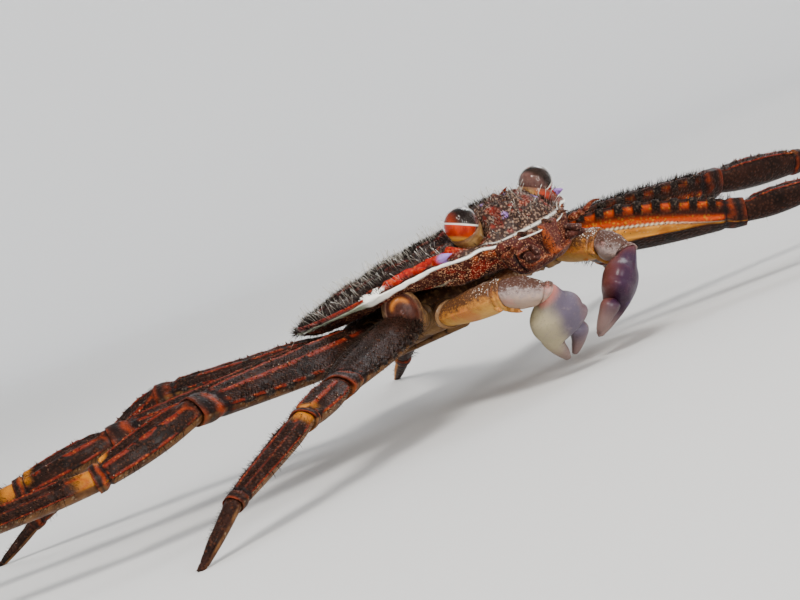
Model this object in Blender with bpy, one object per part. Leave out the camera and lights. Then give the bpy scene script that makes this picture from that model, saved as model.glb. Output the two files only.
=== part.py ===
"""Life-size model of a nimble spray crab (Percnon gibbesi) crouching on the ground.

The crab faces -Y, its left side is +X, and +Z is up. Sizes below are in
millimetres in the body's own frame, whose origin is the middle of the carapace
at the level of its side margin. The whole body hangs from one empty that
lifts it off the ground, leans it a little, left side high, and puts the middle
of the whole crab over the origin. The eight walking legs end in small flats
that stand on the ground at z = 0.
"""

import math

import bmesh
import bpy
from mathutils import Matrix, Vector

mm = 0.001

# Stance
body_height = 13.8
lean = math.radians(7)
lean_heading = math.radians(40)
joint_gap = 0.15
stance_shift = (-3.84, -7.30)

# Carapace
carapace_half_width = 14.7
carapace_half_length = 15.6
dome_height = 1.5
forehead_height = 1.7
forehead_half_width = 3.4
side_depth = 1.3
mouth_depth = 3.0
front_drop = 1.5
orbit_recess = 1.7
shoulder_recess = 2.6
shoulder_angle = 42
shoulder_spread = 18
carapace_sides = 64

# Eyes
eye_radius = 1.65
eye_centre = Vector((5.25, -11.2, 2.0))
eye_axis = Vector((0.45, -0.35, 0.82)).normalized()
eye_clearance = 0.35

# Mouth parts and feelers
antennule_centre = Vector((2.9, -14.9, -3.3))
antenna_root = Vector((4.7, -13.6, -2.3))
antenna_tip = Vector((5.8, -17.0, -1.9))
maxilliped_centre = Vector((1.75, -8.3, -4.4))

# Breast plate and tail flap
thorax_centre_y = 4.0
thorax_half_width = 8.6
thorax_half_length = 9.0
thorax_top = -1.75
thorax_bottom = -6.0
abdomen_length = 11.0

# Walking legs: hip, the lengths of the four long segments, their headings
# (degrees forward of straight out), their pitches, and the roll of the flat
# upper segment. The last segment's pitch follows from the ground.
walking_legs = {
    "leg1_right": {"side": -1, "hip": (10.2, -3.6, -3.6), "lengths": (19.5, 7.0, 12.0, 6.5),
                   "headings": (28, 22, 14, 8), "pitches": (-3, -8, -16), "roll": -14},
    "leg2_right": {"side": -1, "hip": (10.6, 0.9, -3.6), "lengths": (24.0, 10.0, 17.5, 8.0),
                   "headings": (8, -24, -44, -50), "pitches": (6.5, -13, -2), "roll": -20},
    "leg3_right": {"side": -1, "hip": (10.0, 5.4, -3.4), "lengths": (24.0, 9.5, 17.0, 8.0),
                   "headings": (-22, -40, -50, -54), "pitches": (7, -8, -8), "roll": -16},
    "leg4_right": {"side": -1, "hip": (8.4, 9.6, -3.0), "lengths": (17.5, 7.0, 12.5, 6.5),
                   "headings": (-50, -57, -62, -64), "pitches": (11.5, -22, -24), "roll": -12},
    "leg1_left": {"side": 1, "hip": (10.2, -3.6, -3.6), "lengths": (19.5, 7.0, 12.0, 6.5),
                  "headings": (36, 42, 46, 48), "pitches": (-20, -2, -14), "roll": 28},
    "leg2_left": {"side": 1, "hip": (10.6, 0.9, -3.6), "lengths": (24.0, 10.0, 17.5, 8.0),
                  "headings": (14, 18, 22, 24), "pitches": (-9, -7, -14), "roll": 24},
    "leg3_left": {"side": 1, "hip": (10.0, 5.4, -3.4), "lengths": (24.0, 9.5, 17.0, 8.0),
                  "headings": (-32, -30, -34, -36), "pitches": (-4, -8, -16), "roll": 20},
    "leg4_left": {"side": 1, "hip": (8.4, 9.6, -3.0), "lengths": (17.5, 7.0, 12.5, 6.5),
                  "headings": (-64, -58, -62, -64), "pitches": (-3, -14, -26), "roll": 15},
}

# Half width and half thickness along each leg segment, for the longest leg
segment_shapes = {
    "merus": ((0.0, 1.75, 1.5), (0.12, 2.7, 1.6), (0.28, 3.5, 1.6), (0.45, 3.7, 1.5),
              (0.65, 3.3, 1.4), (0.86, 2.5, 1.3), (1.0, 1.9, 1.2)),
    "carpus": ((0.0, 1.55, 1.15), (0.3, 2.1, 1.35), (0.65, 2.1, 1.3), (1.0, 1.5, 1.05)),
    "propodus": ((0.0, 1.35, 1.0), (0.15, 1.65, 1.1), (0.5, 1.6, 1.05), (0.85, 1.25, 0.9), (1.0, 1.0, 0.8)),
    "dactyl": ((0.0, 0.9, 0.75), (0.3, 0.85, 0.72), (0.7, 0.62, 0.58), (1.0, 0.4, 0.4)),
}
segment_names = ("merus", "carpus", "propodus", "dactyl")
merus_spine_count = 8
longest_merus = 24.0

# Chelipeds: the joints from the hip to the tip of the fixed finger
chelipeds = {
    "cheliped_right": ((-7.6, -7.0, -4.7), (-6.6, -13.4, -4.95), (-4.05, -15.65, -6.65), (-2.2, -13.3, -10.4), (-0.6, -10.85, -13.2)),
    "cheliped_left": ((7.6, -7.0, -4.7), (8.3, -12.0, -5.75), (8.75, -13.95, -7.55), (5.4, -13.4, -10.8), (3.2, -11.6, -12.9)),
}
# Which way the broad side of each hand opens
palm_breadths = {"cheliped_right": (0.766, -0.643, 0.3), "cheliped_left": (-0.643, -0.766, 0.3)}
palm_sides = 14

# Colours, as linear red, green and blue, then roughness
finishes = {
    "carapace": ((0.070, 0.034, 0.022), 0.62),
    "thorax": ((0.420, 0.300, 0.170), 0.50),
    "abdomen": ((0.480, 0.360, 0.220), 0.50),
    "eyestalk": ((0.180, 0.060, 0.022), 0.40),
    "cornea": ((0.120, 0.018, 0.010), 0.08),
    "antennule": ((0.220, 0.050, 0.025), 0.45),
    "antenna": ((0.300, 0.090, 0.030), 0.45),
    "maxilliped": ((0.300, 0.130, 0.060), 0.50),
    "merus": ((0.140, 0.045, 0.022), 0.52),
    "carpus": ((0.110, 0.036, 0.020), 0.55),
    "propodus": ((0.130, 0.052, 0.026), 0.55),
    "dactyl": ((0.420, 0.220, 0.070), 0.45),
    "arm": ((0.480, 0.210, 0.050), 0.45),
    "wrist": ((0.300, 0.200, 0.230), 0.42),
    "palm": ((0.340, 0.250, 0.380), 0.30),
    "finger": ((0.460, 0.330, 0.260), 0.35),
}


def clear_scene():
    for thing in list(bpy.data.objects):
        bpy.data.objects.remove(thing, do_unlink=True)


def finish_material(name, finish):
    colour, roughness = finishes[finish]
    material = bpy.data.materials.new(name + "_" + finish)
    material.use_nodes = True
    shader = material.node_tree.nodes["Principled BSDF"]
    shader.inputs["Base Color"].default_value = (*colour, 1.0)
    shader.inputs["Roughness"].default_value = roughness
    shader.inputs["Metallic"].default_value = 0.0
    material.diffuse_color = (*colour, 1.0)
    return material


def new_body(name, rings, collection, start_pole=None, end_pole=None):
    """Skins a list of rings, in millimetres, into one closed body.

    An end is a flat cap unless a pole point is given for it.
    """
    mesh = bpy.data.meshes.new(name)
    body = bpy.data.objects.new(name, mesh)
    collection.objects.link(body)
    shell = bmesh.new()
    loops = [[shell.verts.new(Vector(point) * mm) for point in ring] for ring in rings]
    count = len(loops[0])
    for lower, upper in zip(loops, loops[1:]):
        for i in range(count):
            j = (i + 1) % count
            shell.faces.new((lower[i], lower[j], upper[j], upper[i]))
    for loop, pole in ((loops[0], start_pole), (loops[-1], end_pole)):
        if pole is None:
            shell.faces.new(loop)
            continue
        tip = shell.verts.new(Vector(pole) * mm)
        for i in range(count):
            shell.faces.new((loop[i], loop[(i + 1) % count], tip))
    bmesh.ops.triangulate(shell, faces=shell.faces)
    bmesh.ops.recalc_face_normals(shell, faces=shell.faces)
    shell.to_mesh(mesh)
    shell.free()
    return body


def ring(centre, wide, thin, half_width, half_thickness, sides):
    """One elliptical ring of points."""
    points = []
    for i in range(sides):
        angle = 2 * math.pi * (i + 0.5) / sides
        points.append(centre + wide * (half_width * math.cos(angle)) + thin * (half_thickness * math.sin(angle)))
    return points


def slide_to_plane(points, along, plane_point, plane_normal):
    """Moves each point along a direction until it lies in a plane."""
    slope = along.dot(plane_normal)
    return [p + along * ((plane_point - p).dot(plane_normal) / slope) for p in points]


def side_axes(along, toward):
    """The part of a direction square to an axis, and the direction square to both."""
    wide = (toward - along * toward.dot(along)).normalized()
    thin = along.cross(wide)
    if thin.z < 0:
        thin.negate()
    return wide, thin


def segment_rings(start, end, wide, thin, shape, sides, scale=1.0, start_plane=None, end_plane=None):
    """Rings along one segment, its end rings cut along the planes of its joints."""
    along = (end - start).normalized()
    rings = []
    for fraction, half_width, half_thickness in shape:
        centre = start.lerp(end, fraction)
        rings.append(ring(centre, wide, thin, half_width * scale, half_thickness * scale, sides))
    if start_plane is not None:
        rings[0] = slide_to_plane(rings[0], along, start + start_plane * joint_gap, start_plane)
    if end_plane is not None:
        rings[-1] = slide_to_plane(rings[-1], along, end - end_plane * joint_gap, end_plane)
    return rings


def capsule_rings(start, end, radii, sides, toward=Vector((0, 0, 1))):
    """Round rings with the given radii, spread evenly from start to end."""
    start, end = Vector(start), Vector(end)
    along = (end - start).normalized()
    wide, thin = side_axes(along, toward)
    steps = len(radii) - 1
    return [ring(start.lerp(end, i / steps), wide, thin, radius, radius, sides) for i, radius in enumerate(radii)]


def spine(root, tip, radius, collection, sides=5):
    """A pointed cone, open to be joined to a body that its root lies in."""
    along = (tip - root).normalized()
    toward = Vector((0, 0, 1)) if abs(along.z) < 0.9 else Vector((1, 0, 0))
    wide, thin = side_axes(along, toward)
    return new_body("spine", [ring(root, wide, thin, radius, radius, sides)], collection, end_pole=tip)


def keep_largest(body):
    """Leaves only the closed surface with the largest extent."""
    shell = bmesh.new()
    shell.from_mesh(body.data)
    bmesh.ops.remove_doubles(shell, verts=shell.verts, dist=2e-6)
    bmesh.ops.dissolve_degenerate(shell, edges=shell.edges, dist=1e-6)
    unseen = set(shell.verts)
    islands = []
    while unseen:
        stack = [unseen.pop()]
        island = []
        while stack:
            vertex = stack.pop()
            island.append(vertex)
            for edge in vertex.link_edges:
                other = edge.other_vert(vertex)
                if other in unseen:
                    unseen.remove(other)
                    stack.append(other)
        islands.append(island)
    islands.sort(key=len)
    for island in islands[:-1]:
        bmesh.ops.delete(shell, geom=island, context="VERTS")
    shell.to_mesh(body.data)
    shell.free()


def combine(body, pieces, operation):
    """Adds or cuts a group of closed pieces in one Boolean, then removes them."""
    group = bpy.data.collections.new(body.name + "_" + operation.lower())
    bpy.context.scene.collection.children.link(group)
    for piece in pieces:
        for owner in list(piece.users_collection):
            owner.objects.unlink(piece)
        group.objects.link(piece)
        piece.hide_render = True
        piece.display_type = "WIRE"
    modifier = body.modifiers.new(operation.lower(), "BOOLEAN")
    modifier.operation = operation
    modifier.operand_type = "COLLECTION"
    modifier.collection = group
    modifier.solver = "EXACT"
    bpy.context.view_layer.update()
    evaluated = body.evaluated_get(bpy.context.evaluated_depsgraph_get())
    result = bpy.data.meshes.new_from_object(evaluated)
    body.modifiers.clear()
    body.data = result
    for piece in pieces:
        bpy.data.objects.remove(piece, do_unlink=True)
    bpy.data.collections.remove(group)
    keep_largest(body)


def set_back(angle):
    """How far the shoulder beside the eye is drawn inward and back, as x and y."""
    degrees = math.degrees(math.asin(max(-1.0, min(1.0, math.sin(angle)))))
    amount = shoulder_recess * math.exp(-((degrees - shoulder_angle) / shoulder_spread) ** 2)
    amount *= max(0.0, min(1.0, degrees / 10))
    return amount * 0.643, amount * 0.766


def margin(angle):
    """The carapace's outline, drawn back above the eyes and at the shoulders."""
    x = carapace_half_width * math.cos(angle)
    y = -carapace_half_length * math.sin(angle)
    if y < 0:
        y += orbit_recess * math.exp(-((abs(x) - 5.6) / 2.4) ** 2)
    inward, back = set_back(angle)
    return x - math.copysign(inward, x), y + back


def carapace_shell(collection):
    """The shield: domed above, with a side wall that is deeper by the mouth."""
    top_steps = (0.1, 0.28, 0.46, 0.6, 0.72, 0.82, 0.9, 0.95, 0.98, 1.0)
    under_steps = ((0.985, 0.18), (0.93, 0.6), (0.86, 0.92), (0.72, 1.0), (0.4, 1.0))

    def drop(y):
        return front_drop * min(max((-y - 9) / 6.5, 0), 1) ** 1.3

    def forehead(x, y):
        rise = min(max((-y - 3) / 6, 0), 1)
        rise = rise * rise * (3 - 2 * rise)
        fall = 1 - 0.25 * min(max((-y - 12) / 3, 0), 1)
        return forehead_height * rise * fall * math.exp(-(x / forehead_half_width) ** 4)

    def point(angle, step, level, share=1.0):
        x, y = margin(angle)
        return Vector((x * step, y * step, level - drop(y * step) * share))

    angles = [2 * math.pi * i / carapace_sides for i in range(carapace_sides)]
    rings = []
    for step in top_steps:
        line = []
        for angle in angles:
            x, y = margin(angle)
            level = dome_height * (1 - step ** 2.4) - 0.15 * step ** 8
            level += forehead(x * step, y * step) * (1 - step ** 24)
            line.append(point(angle, step, level, step ** 8))
        rings.append(line)
    for step, share in under_steps:
        line = []
        for angle in angles:
            blend = min(max((-margin(angle)[1] * step - 5.8) / 3.2, 0), 1)
            depth = side_depth + (mouth_depth - side_depth) * blend
            line.append(point(angle, step, -depth * share))
        rings.append(line)
    body = new_body("carapace", rings, collection, (0, 0, dome_height), (0, 0, -side_depth))

    spines = []
    for side in (-1, 1):
        for outline_angle, length, radius in ((53, 2.6, 0.85), (43, 2.2, 0.7), (34, 2.3, 0.7), (25, 3.0, 0.85)):
            a = math.radians(outline_angle)
            inward, back = set_back(a)
            tip = Vector((side * (15 * math.cos(a) - inward), -16 * math.sin(a) + back, -0.1 if outline_angle < 50 else 0.2))
            root = tip - Vector((side * 0.3, -0.95, 0.12)).normalized() * length
            spines.append(spine(root, tip, radius, collection))
        spines.append(spine(Vector((side * 2.3, -12.4, -0.9)), Vector((side * 2.7, -15.9, -1.4)), 0.75, collection))
        spines.append(spine(Vector((side * 2.6, -8.7, 1.4)), Vector((side * 2.9, -10.1, 2.9)), 0.55, collection))
    spines.append(spine(Vector((0, -13.2, -1.2)), Vector((0, -16.4, -1.5)), 1.1, collection))
    spines.append(epistome(collection))
    combine(body, spines, "UNION")

    cutters = []
    for side in (-1, 1):
        cutters.append(new_body("orbit", eye_rings(side, ((-3.35, 1.5), (-0.65, 2.0), (3.0, 2.0)), 16), collection))
        cutters.append(feeler(antennule_rings(side, eye_clearance), "fossa", collection))
        cutters.append(feeler(antenna_rings(side, eye_clearance), "socket", collection))
    combine(body, cutters, "DIFFERENCE")
    return body


def epistome(collection):
    """The face below the front edge, between the feelers and the mouth."""
    rings = []
    for level, half_width, half_depth in ((-1.2, 4.6, 1.9), (-2.6, 4.3, 1.9), (-4.0, 3.6, 1.5), (-4.6, 2.8, 1.1)):
        rings.append(ring(Vector((0, -13.2, level)), Vector((1, 0, 0)), Vector((0, 1, 0)), half_width, half_depth, 16))
    return new_body("epistome", rings, collection)


def mirrored(vector, side):
    return Vector((side * vector[0], vector[1], vector[2]))


def eye_rings(side, stations, sides):
    """Rings round the eye's axis, as distances from the eye's centre and radii."""
    centre = mirrored(eye_centre, side)
    along = mirrored(eye_axis, side)
    wide, thin = side_axes(along, Vector((0, -1, 0)))
    return [ring(centre + along * distance, wide, thin, radius, radius, sides) for distance, radius in stations]


def eyes(collection):
    """The stalks in their orbits and the clear domes on top of them."""
    made = []
    for side, label in ((1, "left"), (-1, "right")):
        stalk = ((-3.0, 1.05), (-2.0, 1.3), (-1.2, 1.48), (-0.65, 1.52))
        made.append((new_body("eyestalk_" + label, eye_rings(side, stalk, 12), collection), "eyestalk"))
        dome = []
        for degrees in (-12, 8, 28, 48, 66, 80):
            a = math.radians(degrees)
            dome.append((eye_radius * math.sin(a), eye_radius * math.cos(a)))
        tip = mirrored(eye_centre, side) + mirrored(eye_axis, side) * eye_radius
        made.append((new_body("cornea_" + label, eye_rings(side, dome, 16), collection, end_pole=tip), "cornea"))
    return made


def antennule_rings(side, extra=0.0):
    """The folded antennule: a short fat spindle under the front."""
    centre = mirrored(antennule_centre, side)
    half = Vector((side * 0.35, -1.15, -0.35))
    grow = 1 + extra / half.length
    radii = [radius + extra for radius in (0.35, 0.72, 0.85, 0.72, 0.35)]
    return capsule_rings(centre - half * grow, centre + half * grow, radii, 10)


def antenna_rings(side, extra=0.0):
    """The short antenna beside the mouth."""
    radii = [radius + extra for radius in (0.62, 0.6, 0.5, 0.4, 0.28)]
    start = mirrored(antenna_root, side) + Vector((0, extra, 0))
    return capsule_rings(start, mirrored(antenna_tip, side), radii, 8)


def feeler(rings, name, collection):
    return new_body(name, rings, collection)


def mouth(collection):
    """The two outer jaw plates, side by side under the front."""
    made = []
    for side, label in ((1, "left"), (-1, "right")):
        centre = mirrored(maxilliped_centre, side)
        rings = []
        for along, half_width, half_depth in ((-2.7, 0.75, 0.4), (-2.0, 1.2, 0.62), (-0.8, 1.45, 0.75),
                                              (0.7, 1.45, 0.75), (2.0, 1.2, 0.7), (2.6, 0.8, 0.45)):
            rings.append(ring(centre + Vector((0, along, 0)), Vector((1, 0, 0)), Vector((0, 0, 1)), half_width, half_depth, 10))
        made.append((new_body("maxilliped_" + label, rings, collection), "maxilliped"))
    return made


def thorax_body(collection):
    """The breast plate with the ten short limb bases joined to it."""
    angles = [2 * math.pi * i / 32 for i in range(32)]

    def outline(angle):
        c, s = math.cos(angle), math.sin(angle)
        x = thorax_half_width * math.copysign(abs(c) ** 0.77, c)
        y = thorax_half_length * math.copysign(abs(s) ** 0.77, s)
        return x, y

    middle = (thorax_top + thorax_bottom) / 2
    half = (thorax_top - thorax_bottom) / 2
    rings = []
    for step, level in ((0.5, 1), (0.82, 0.96), (0.96, 0.6), (1.0, 0), (0.96, -0.6), (0.82, -0.96), (0.5, -1)):
        rings.append([Vector((outline(a)[0] * step, thorax_centre_y + outline(a)[1] * step, middle + half * level)) for a in angles])
    body = new_body("thorax", rings, collection)

    bases = []
    for leg in walking_legs.values():
        path = leg_path(leg)
        hip, plane = path["joints"][0], path["planes"][0]
        root = Vector((hip.x * 0.5, thorax_centre_y + (hip.y - thorax_centre_y) * 0.72, -4.1))
        along = (hip - root).normalized()
        wide, thin = side_axes(along, Vector((0, -1, 0)))
        scale = path["scale"] ** 0.5
        shape = ((0.0, 1.4, 1.2), (0.55, 1.75, 1.5), (0.8, 2.0, 1.6), (1.0, 1.8, 1.5))
        bases.append(new_body("base", segment_rings(root, hip, wide, thin, shape, 10, scale, end_plane=plane), collection))
    for joints in chelipeds.values():
        hip = Vector(joints[0])
        root = Vector((math.copysign(4.2, hip.x), -2.6, -4.4))
        along = (hip - root).normalized()
        plane = (along + (Vector(joints[1]) - hip).normalized()).normalized()
        wide, thin = side_axes(along, Vector((1, 0, 0)))
        shape = ((0.0, 1.3, 1.2), (0.6, 1.45, 1.35), (1.0, 1.35, 1.25))
        bases.append(new_body("base", segment_rings(root, hip, wide, thin, shape, 10, end_plane=plane), collection))
    combine(body, bases, "UNION")
    return body


def abdomen_body(collection):
    """The narrow tail flap folded flat under the breast plate."""
    rings = []
    for fraction, half_width in ((0.0, 2.6), (0.15, 3.3), (0.4, 2.9), (0.65, 2.1), (0.85, 1.5), (1.0, 0.7)):
        centre = Vector((0, 11.6 - abdomen_length * fraction, thorax_bottom - 0.75))
        rings.append(ring(centre, Vector((1, 0, 0)), Vector((0, 0, 1)), half_width, 0.42, 12))
    return new_body("abdomen", rings, collection)


def lean_matrix():
    axis = Vector((-math.sin(lean_heading), -math.cos(lean_heading), 0))
    return Matrix.Rotation(lean, 3, axis)


def direction(side, heading, pitch):
    a, b = math.radians(heading), math.radians(pitch)
    return Vector((side * math.cos(a) * math.cos(b), -math.sin(a) * math.cos(b), math.sin(b)))


def leg_path(leg):
    """Joints of one walking leg in the body's frame, with the planes that part its segments."""
    tilt = lean_matrix()
    ground = tilt.inverted()
    side = leg["side"]
    hip = mirrored(leg["hip"], side)
    joints = [hip, hip + direction(side, leg["headings"][0], leg["pitches"][0]) * leg["lengths"][0]]
    for i in (1, 2):
        joints.append(joints[-1] + ground @ direction(side, leg["headings"][i], leg["pitches"][i]) * leg["lengths"][i])
    ankle_height = (tilt @ joints[-1]).z + body_height
    drop = math.degrees(math.asin(ankle_height / leg["lengths"][3]))
    joints.append(joints[-1] + ground @ direction(side, leg["headings"][3], -drop) * leg["lengths"][3])
    root = Vector((hip.x * 0.5, thorax_centre_y + (hip.y - thorax_centre_y) * 0.72, -4.1))
    ways = [(b - a).normalized() for a, b in zip([root] + joints, joints)]
    planes = [(a + b).normalized() for a, b in zip(ways, ways[1:])]
    return {"joints": joints, "planes": planes, "scale": leg["lengths"][0] / longest_merus}


def walking_leg(name, leg, collection):
    """The four long segments of one leg; the first carries a row of spines on its front edge."""
    path = leg_path(leg)
    joints, planes = path["joints"], path["planes"]
    scale = 0.35 + 0.65 * path["scale"]
    roll = math.radians(leg["roll"])
    ground = lean_matrix().inverted() @ Vector((0, 0, 1))
    ground_point = ground * -body_height
    made = []
    for i, segment in enumerate(segment_names):
        start, end = joints[i], joints[i + 1]
        along = (end - start).normalized()
        level, up = side_axes(along, Vector((0, -1, 0)))
        share = (1.0, 0.9, 0.75, 0.5)[i]
        wide = level * math.cos(roll * share) + up * math.sin(roll * share)
        thin = up * math.cos(roll * share) - level * math.sin(roll * share)
        end_plane = planes[i + 1] if i < 3 else None
        sides = 8 if segment == "dactyl" else 10
        rings = segment_rings(start, end, wide, thin, segment_shapes[segment], sides, scale, planes[i], end_plane)
        if segment == "dactyl":
            rings[-1] = slide_to_plane(rings[-1], along, ground_point, ground)
        body = new_body(name + "_" + segment, rings, collection)
        if segment == "merus":
            combine(body, merus_spines(start, end, wide, along, scale, collection), "UNION")
        made.append((body, segment))
    return made


def merus_spines(start, end, wide, along, scale, collection):
    """A row of forward pointing spines along the front edge and one at the rear corner."""
    shape = segment_shapes["merus"]

    def half_width(fraction):
        for (f0, w0, _), (f1, w1, _) in zip(shape, shape[1:]):
            if fraction <= f1:
                return (w0 + (w1 - w0) * (fraction - f0) / (f1 - f0)) * scale
        return shape[-1][1] * scale

    spines = []
    for k in range(merus_spine_count):
        fraction = 0.26 + 0.66 * k / (merus_spine_count - 1)
        edge = start.lerp(end, fraction) + wide * half_width(fraction)
        way = (wide * 0.8 + along * 0.6).normalized()
        reach = (1.0 + 0.5 * fraction) * scale
        spines.append(spine(edge - way * 1.0 * scale, edge + way * reach, 0.52 * scale, collection))
    rear = start.lerp(end, 0.93) - wide * half_width(0.93)
    way = (along * 0.8 - wide * 0.6).normalized()
    spines.append(spine(rear - way * scale, rear + way * 1.1 * scale, 0.5 * scale, collection))
    return spines


def cheliped(name, joints, collection):
    """Arm, wrist, and the hand with its fixed and its moving finger."""
    hip, elbow, wrist, knuckle, tip = (Vector(p) for p in joints)
    root = Vector((math.copysign(4.2, hip.x), -2.6, -4.4))
    ways = [(b - a).normalized() for a, b in zip((root, hip, elbow, wrist), (hip, elbow, wrist, knuckle))]
    planes = [(a + b).normalized() for a, b in zip(ways, ways[1:])]
    made = []

    arm_shape = ((0.0, 1.2, 1.1), (0.25, 1.5, 1.35), (0.6, 1.75, 1.5), (0.85, 1.7, 1.45), (1.0, 1.3, 1.2))
    wide, thin = side_axes(ways[1], Vector((1, 0, 0)))
    arm = new_body(name + "_merus", segment_rings(hip, elbow, wide, thin, arm_shape, 10, 1.0, planes[0], planes[1]), collection)
    made.append((arm, "arm"))

    wrist_shape = ((0.0, 1.15, 1.2), (0.3, 1.4, 1.6), (0.6, 1.3, 1.4), (1.0, 0.85, 0.9))
    wide, thin = side_axes(ways[2], Vector((0, 0, 1)))
    joint = new_body(name + "_carpus", segment_rings(elbow, wrist, wide, thin, wrist_shape, 10, 1.0, planes[1], planes[2]), collection)
    made.append((joint, "wrist"))

    along = ways[3]
    high, flat = side_axes(along, Vector(palm_breadths[name]))
    shape = ((0.0, 0.8, 0.8), (0.27, 1.55, 1.25), (0.47, 2.4, 1.6), (0.72, 2.6, 1.65), (1.0, 2.3, 1.5))
    rings = segment_rings(wrist, knuckle, high, flat, shape, palm_sides, 1.0, planes[2])
    finger_way = (tip - knuckle).normalized()
    for fraction, offset, radius in ((0.12, -1.2, 1.0), (0.4, -1.0, 0.82), (0.75, -0.6, 0.62), (1.0, -0.32, 0.42)):
        centre = knuckle.lerp(tip, fraction) + high * offset
        blend = along.lerp(finger_way, fraction).normalized()
        upright = side_axes(blend, high)[0]
        across = flat - blend * flat.dot(blend) - upright * flat.dot(upright)
        across.normalize()
        rings.append(ring(centre, upright, across, radius, radius * 0.95, palm_sides))
    made.append((new_body(name + "_palm", rings, collection), "palm"))

    rings = []
    for fraction, offset, radius in ((0.24, 1.3, 0.8), (0.38, 1.5, 0.92), (0.62, 1.35, 0.75), (0.85, 0.95, 0.55), (1.0, 0.62, 0.4)):
        centre = knuckle.lerp(tip, fraction) + high * offset
        blend = along.lerp(finger_way, 0.5 + 0.5 * fraction).normalized()
        upright = side_axes(blend, high)[0]
        across = flat - blend * flat.dot(blend) - upright * flat.dot(upright)
        across.normalize()
        rings.append(ring(centre, upright, across, radius, radius * 0.95, 8))
    made.append((new_body(name + "_finger", rings, collection), "finger"))
    return made


def build():
    clear_scene()
    collection = bpy.data.collections.new("spray_crab")
    bpy.context.scene.collection.children.link(collection)
    made = [(carapace_shell(collection), "carapace"), (thorax_body(collection), "thorax"), (abdomen_body(collection), "abdomen")]
    made += eyes(collection)
    for side, label in ((1, "left"), (-1, "right")):
        made.append((feeler(antennule_rings(side), "antennule_" + label, collection), "antennule"))
        made.append((feeler(antenna_rings(side), "antenna_" + label, collection), "antenna"))
    made += mouth(collection)
    for name, joints in chelipeds.items():
        made += cheliped(name, joints, collection)
    for name, leg in walking_legs.items():
        made += walking_leg(name, leg, collection)

    stance = bpy.data.objects.new("stance", None)
    collection.objects.link(stance)
    stance.location = (stance_shift[0] * mm, stance_shift[1] * mm, body_height * mm)
    stance.rotation_mode = "QUATERNION"
    stance.rotation_quaternion = lean_matrix().to_quaternion()
    for body, finish in made:
        body.parent = stance
        body.data.materials.clear()
        body.data.materials.append(finish_material(body.name, finish))
    bpy.context.view_layer.update()


build()
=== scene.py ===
import itertools
import math

import bmesh
import bpy
import numpy as np
from mathutils import Matrix, Vector


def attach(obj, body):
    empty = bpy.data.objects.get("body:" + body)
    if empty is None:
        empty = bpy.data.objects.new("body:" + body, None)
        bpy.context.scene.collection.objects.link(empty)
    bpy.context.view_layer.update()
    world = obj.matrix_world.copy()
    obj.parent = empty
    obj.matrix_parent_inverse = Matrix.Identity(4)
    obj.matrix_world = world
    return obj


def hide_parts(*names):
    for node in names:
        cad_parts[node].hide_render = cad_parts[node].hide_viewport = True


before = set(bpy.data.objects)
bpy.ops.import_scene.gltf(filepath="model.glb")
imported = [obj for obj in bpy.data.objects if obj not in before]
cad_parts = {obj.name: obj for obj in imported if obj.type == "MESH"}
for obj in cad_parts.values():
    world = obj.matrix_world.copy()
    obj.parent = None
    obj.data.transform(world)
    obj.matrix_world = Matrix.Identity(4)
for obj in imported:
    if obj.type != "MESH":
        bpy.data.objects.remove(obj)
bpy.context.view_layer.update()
print("frame loaded:", len(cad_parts), "solids")

mm = 0.001
black = (0, 0, 0)
sides = (("left", 1), ("right", -1))
stance = {"bodyHeight": 13.8, "lean": 7.0, "leanHeading": 40.0, "shift": (-3.84, -7.3)}
# sine and cosine of the photo's azimuth, for shapes that follow its line of sight
sightSide, sightBack = 0.643, 0.766


# Small tools for curves, noise and frames

def leanMatrix():
    heading = math.radians(stance["leanHeading"])
    axis = Vector((-math.sin(heading), -math.cos(heading), 0))
    return Matrix.Rotation(math.radians(stance["lean"]), 3, axis)


def toWorld(points):
    turned = np.asarray(points, float) @ np.array(leanMatrix()).T
    return (turned + np.array([*stance["shift"], stance["bodyHeight"]])) * mm


def smoothStep(value, low, high):
    x = np.clip((value - low) / (high - low), 0, 1)
    return x * x * (3 - 2 * x)


def between(value, low, full, fading, gone):
    # rises from low to full and falls again from fading to gone
    return smoothStep(value, low, full) * (1 - smoothStep(value, fading, gone))


def hump(value, centre, width):
    return np.exp(-((value - centre) / width) ** 2)


def curveThrough(x, places, values):
    # a smooth line through a few stations
    places, values = np.asarray(places, float), np.asarray(values, float)
    slopes = np.gradient(values, places)
    x = np.clip(x, places[0], places[-1])
    k = np.clip(np.searchsorted(places, x) - 1, 0, len(places) - 2)
    span = places[k + 1] - places[k]
    u = (x - places[k]) / span
    a, b = values[k], values[k + 1]
    return (a * (1 + 2 * u) * (1 - u) ** 2 + b * u * u * (3 - 2 * u)
            + span * (slopes[k] * u * (1 - u) ** 2 - slopes[k + 1] * u * u * (1 - u)))


def latticeNoise(points, scale, seed=0):
    # smooth noise from -1 to 1 that depends only on the place
    p = np.asarray(points, float) / scale + 1000.0
    cell = np.floor(p).astype(np.int64)
    f = p - cell
    f = f * f * (3 - 2 * f)
    total = 0
    for corner in itertools.product((0, 1), repeat=3):
        h = (cell + corner) * (73856093, 19349663, 83492791)
        h = h[..., 0] ^ h[..., 1] ^ h[..., 2] ^ (seed * 2654435)
        h = (h ^ (h >> 13)) * 1274126177 & 0x7fffffff
        h = (h ^ (h >> 15)) & 0xffff
        weights = [f[..., axis] if far else 1 - f[..., axis] for axis, far in enumerate(corner)]
        total = total + math.prod(weights) * (h / 32767.5 - 1)
    return total


def unit(v):
    v = np.asarray(v, float)
    return v / np.maximum(np.linalg.norm(v, axis=-1, keepdims=True), 1e-9)


def sideAxes(along, toward):
    # the part of a direction square to an axis, and the direction square to both, upper side first
    along, toward = np.asarray(along, float), np.asarray(toward, float)
    wide = unit(toward - along * (toward @ along))
    thin = np.cross(along, wide)
    return wide, -thin if thin[2] < 0 else thin


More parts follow.
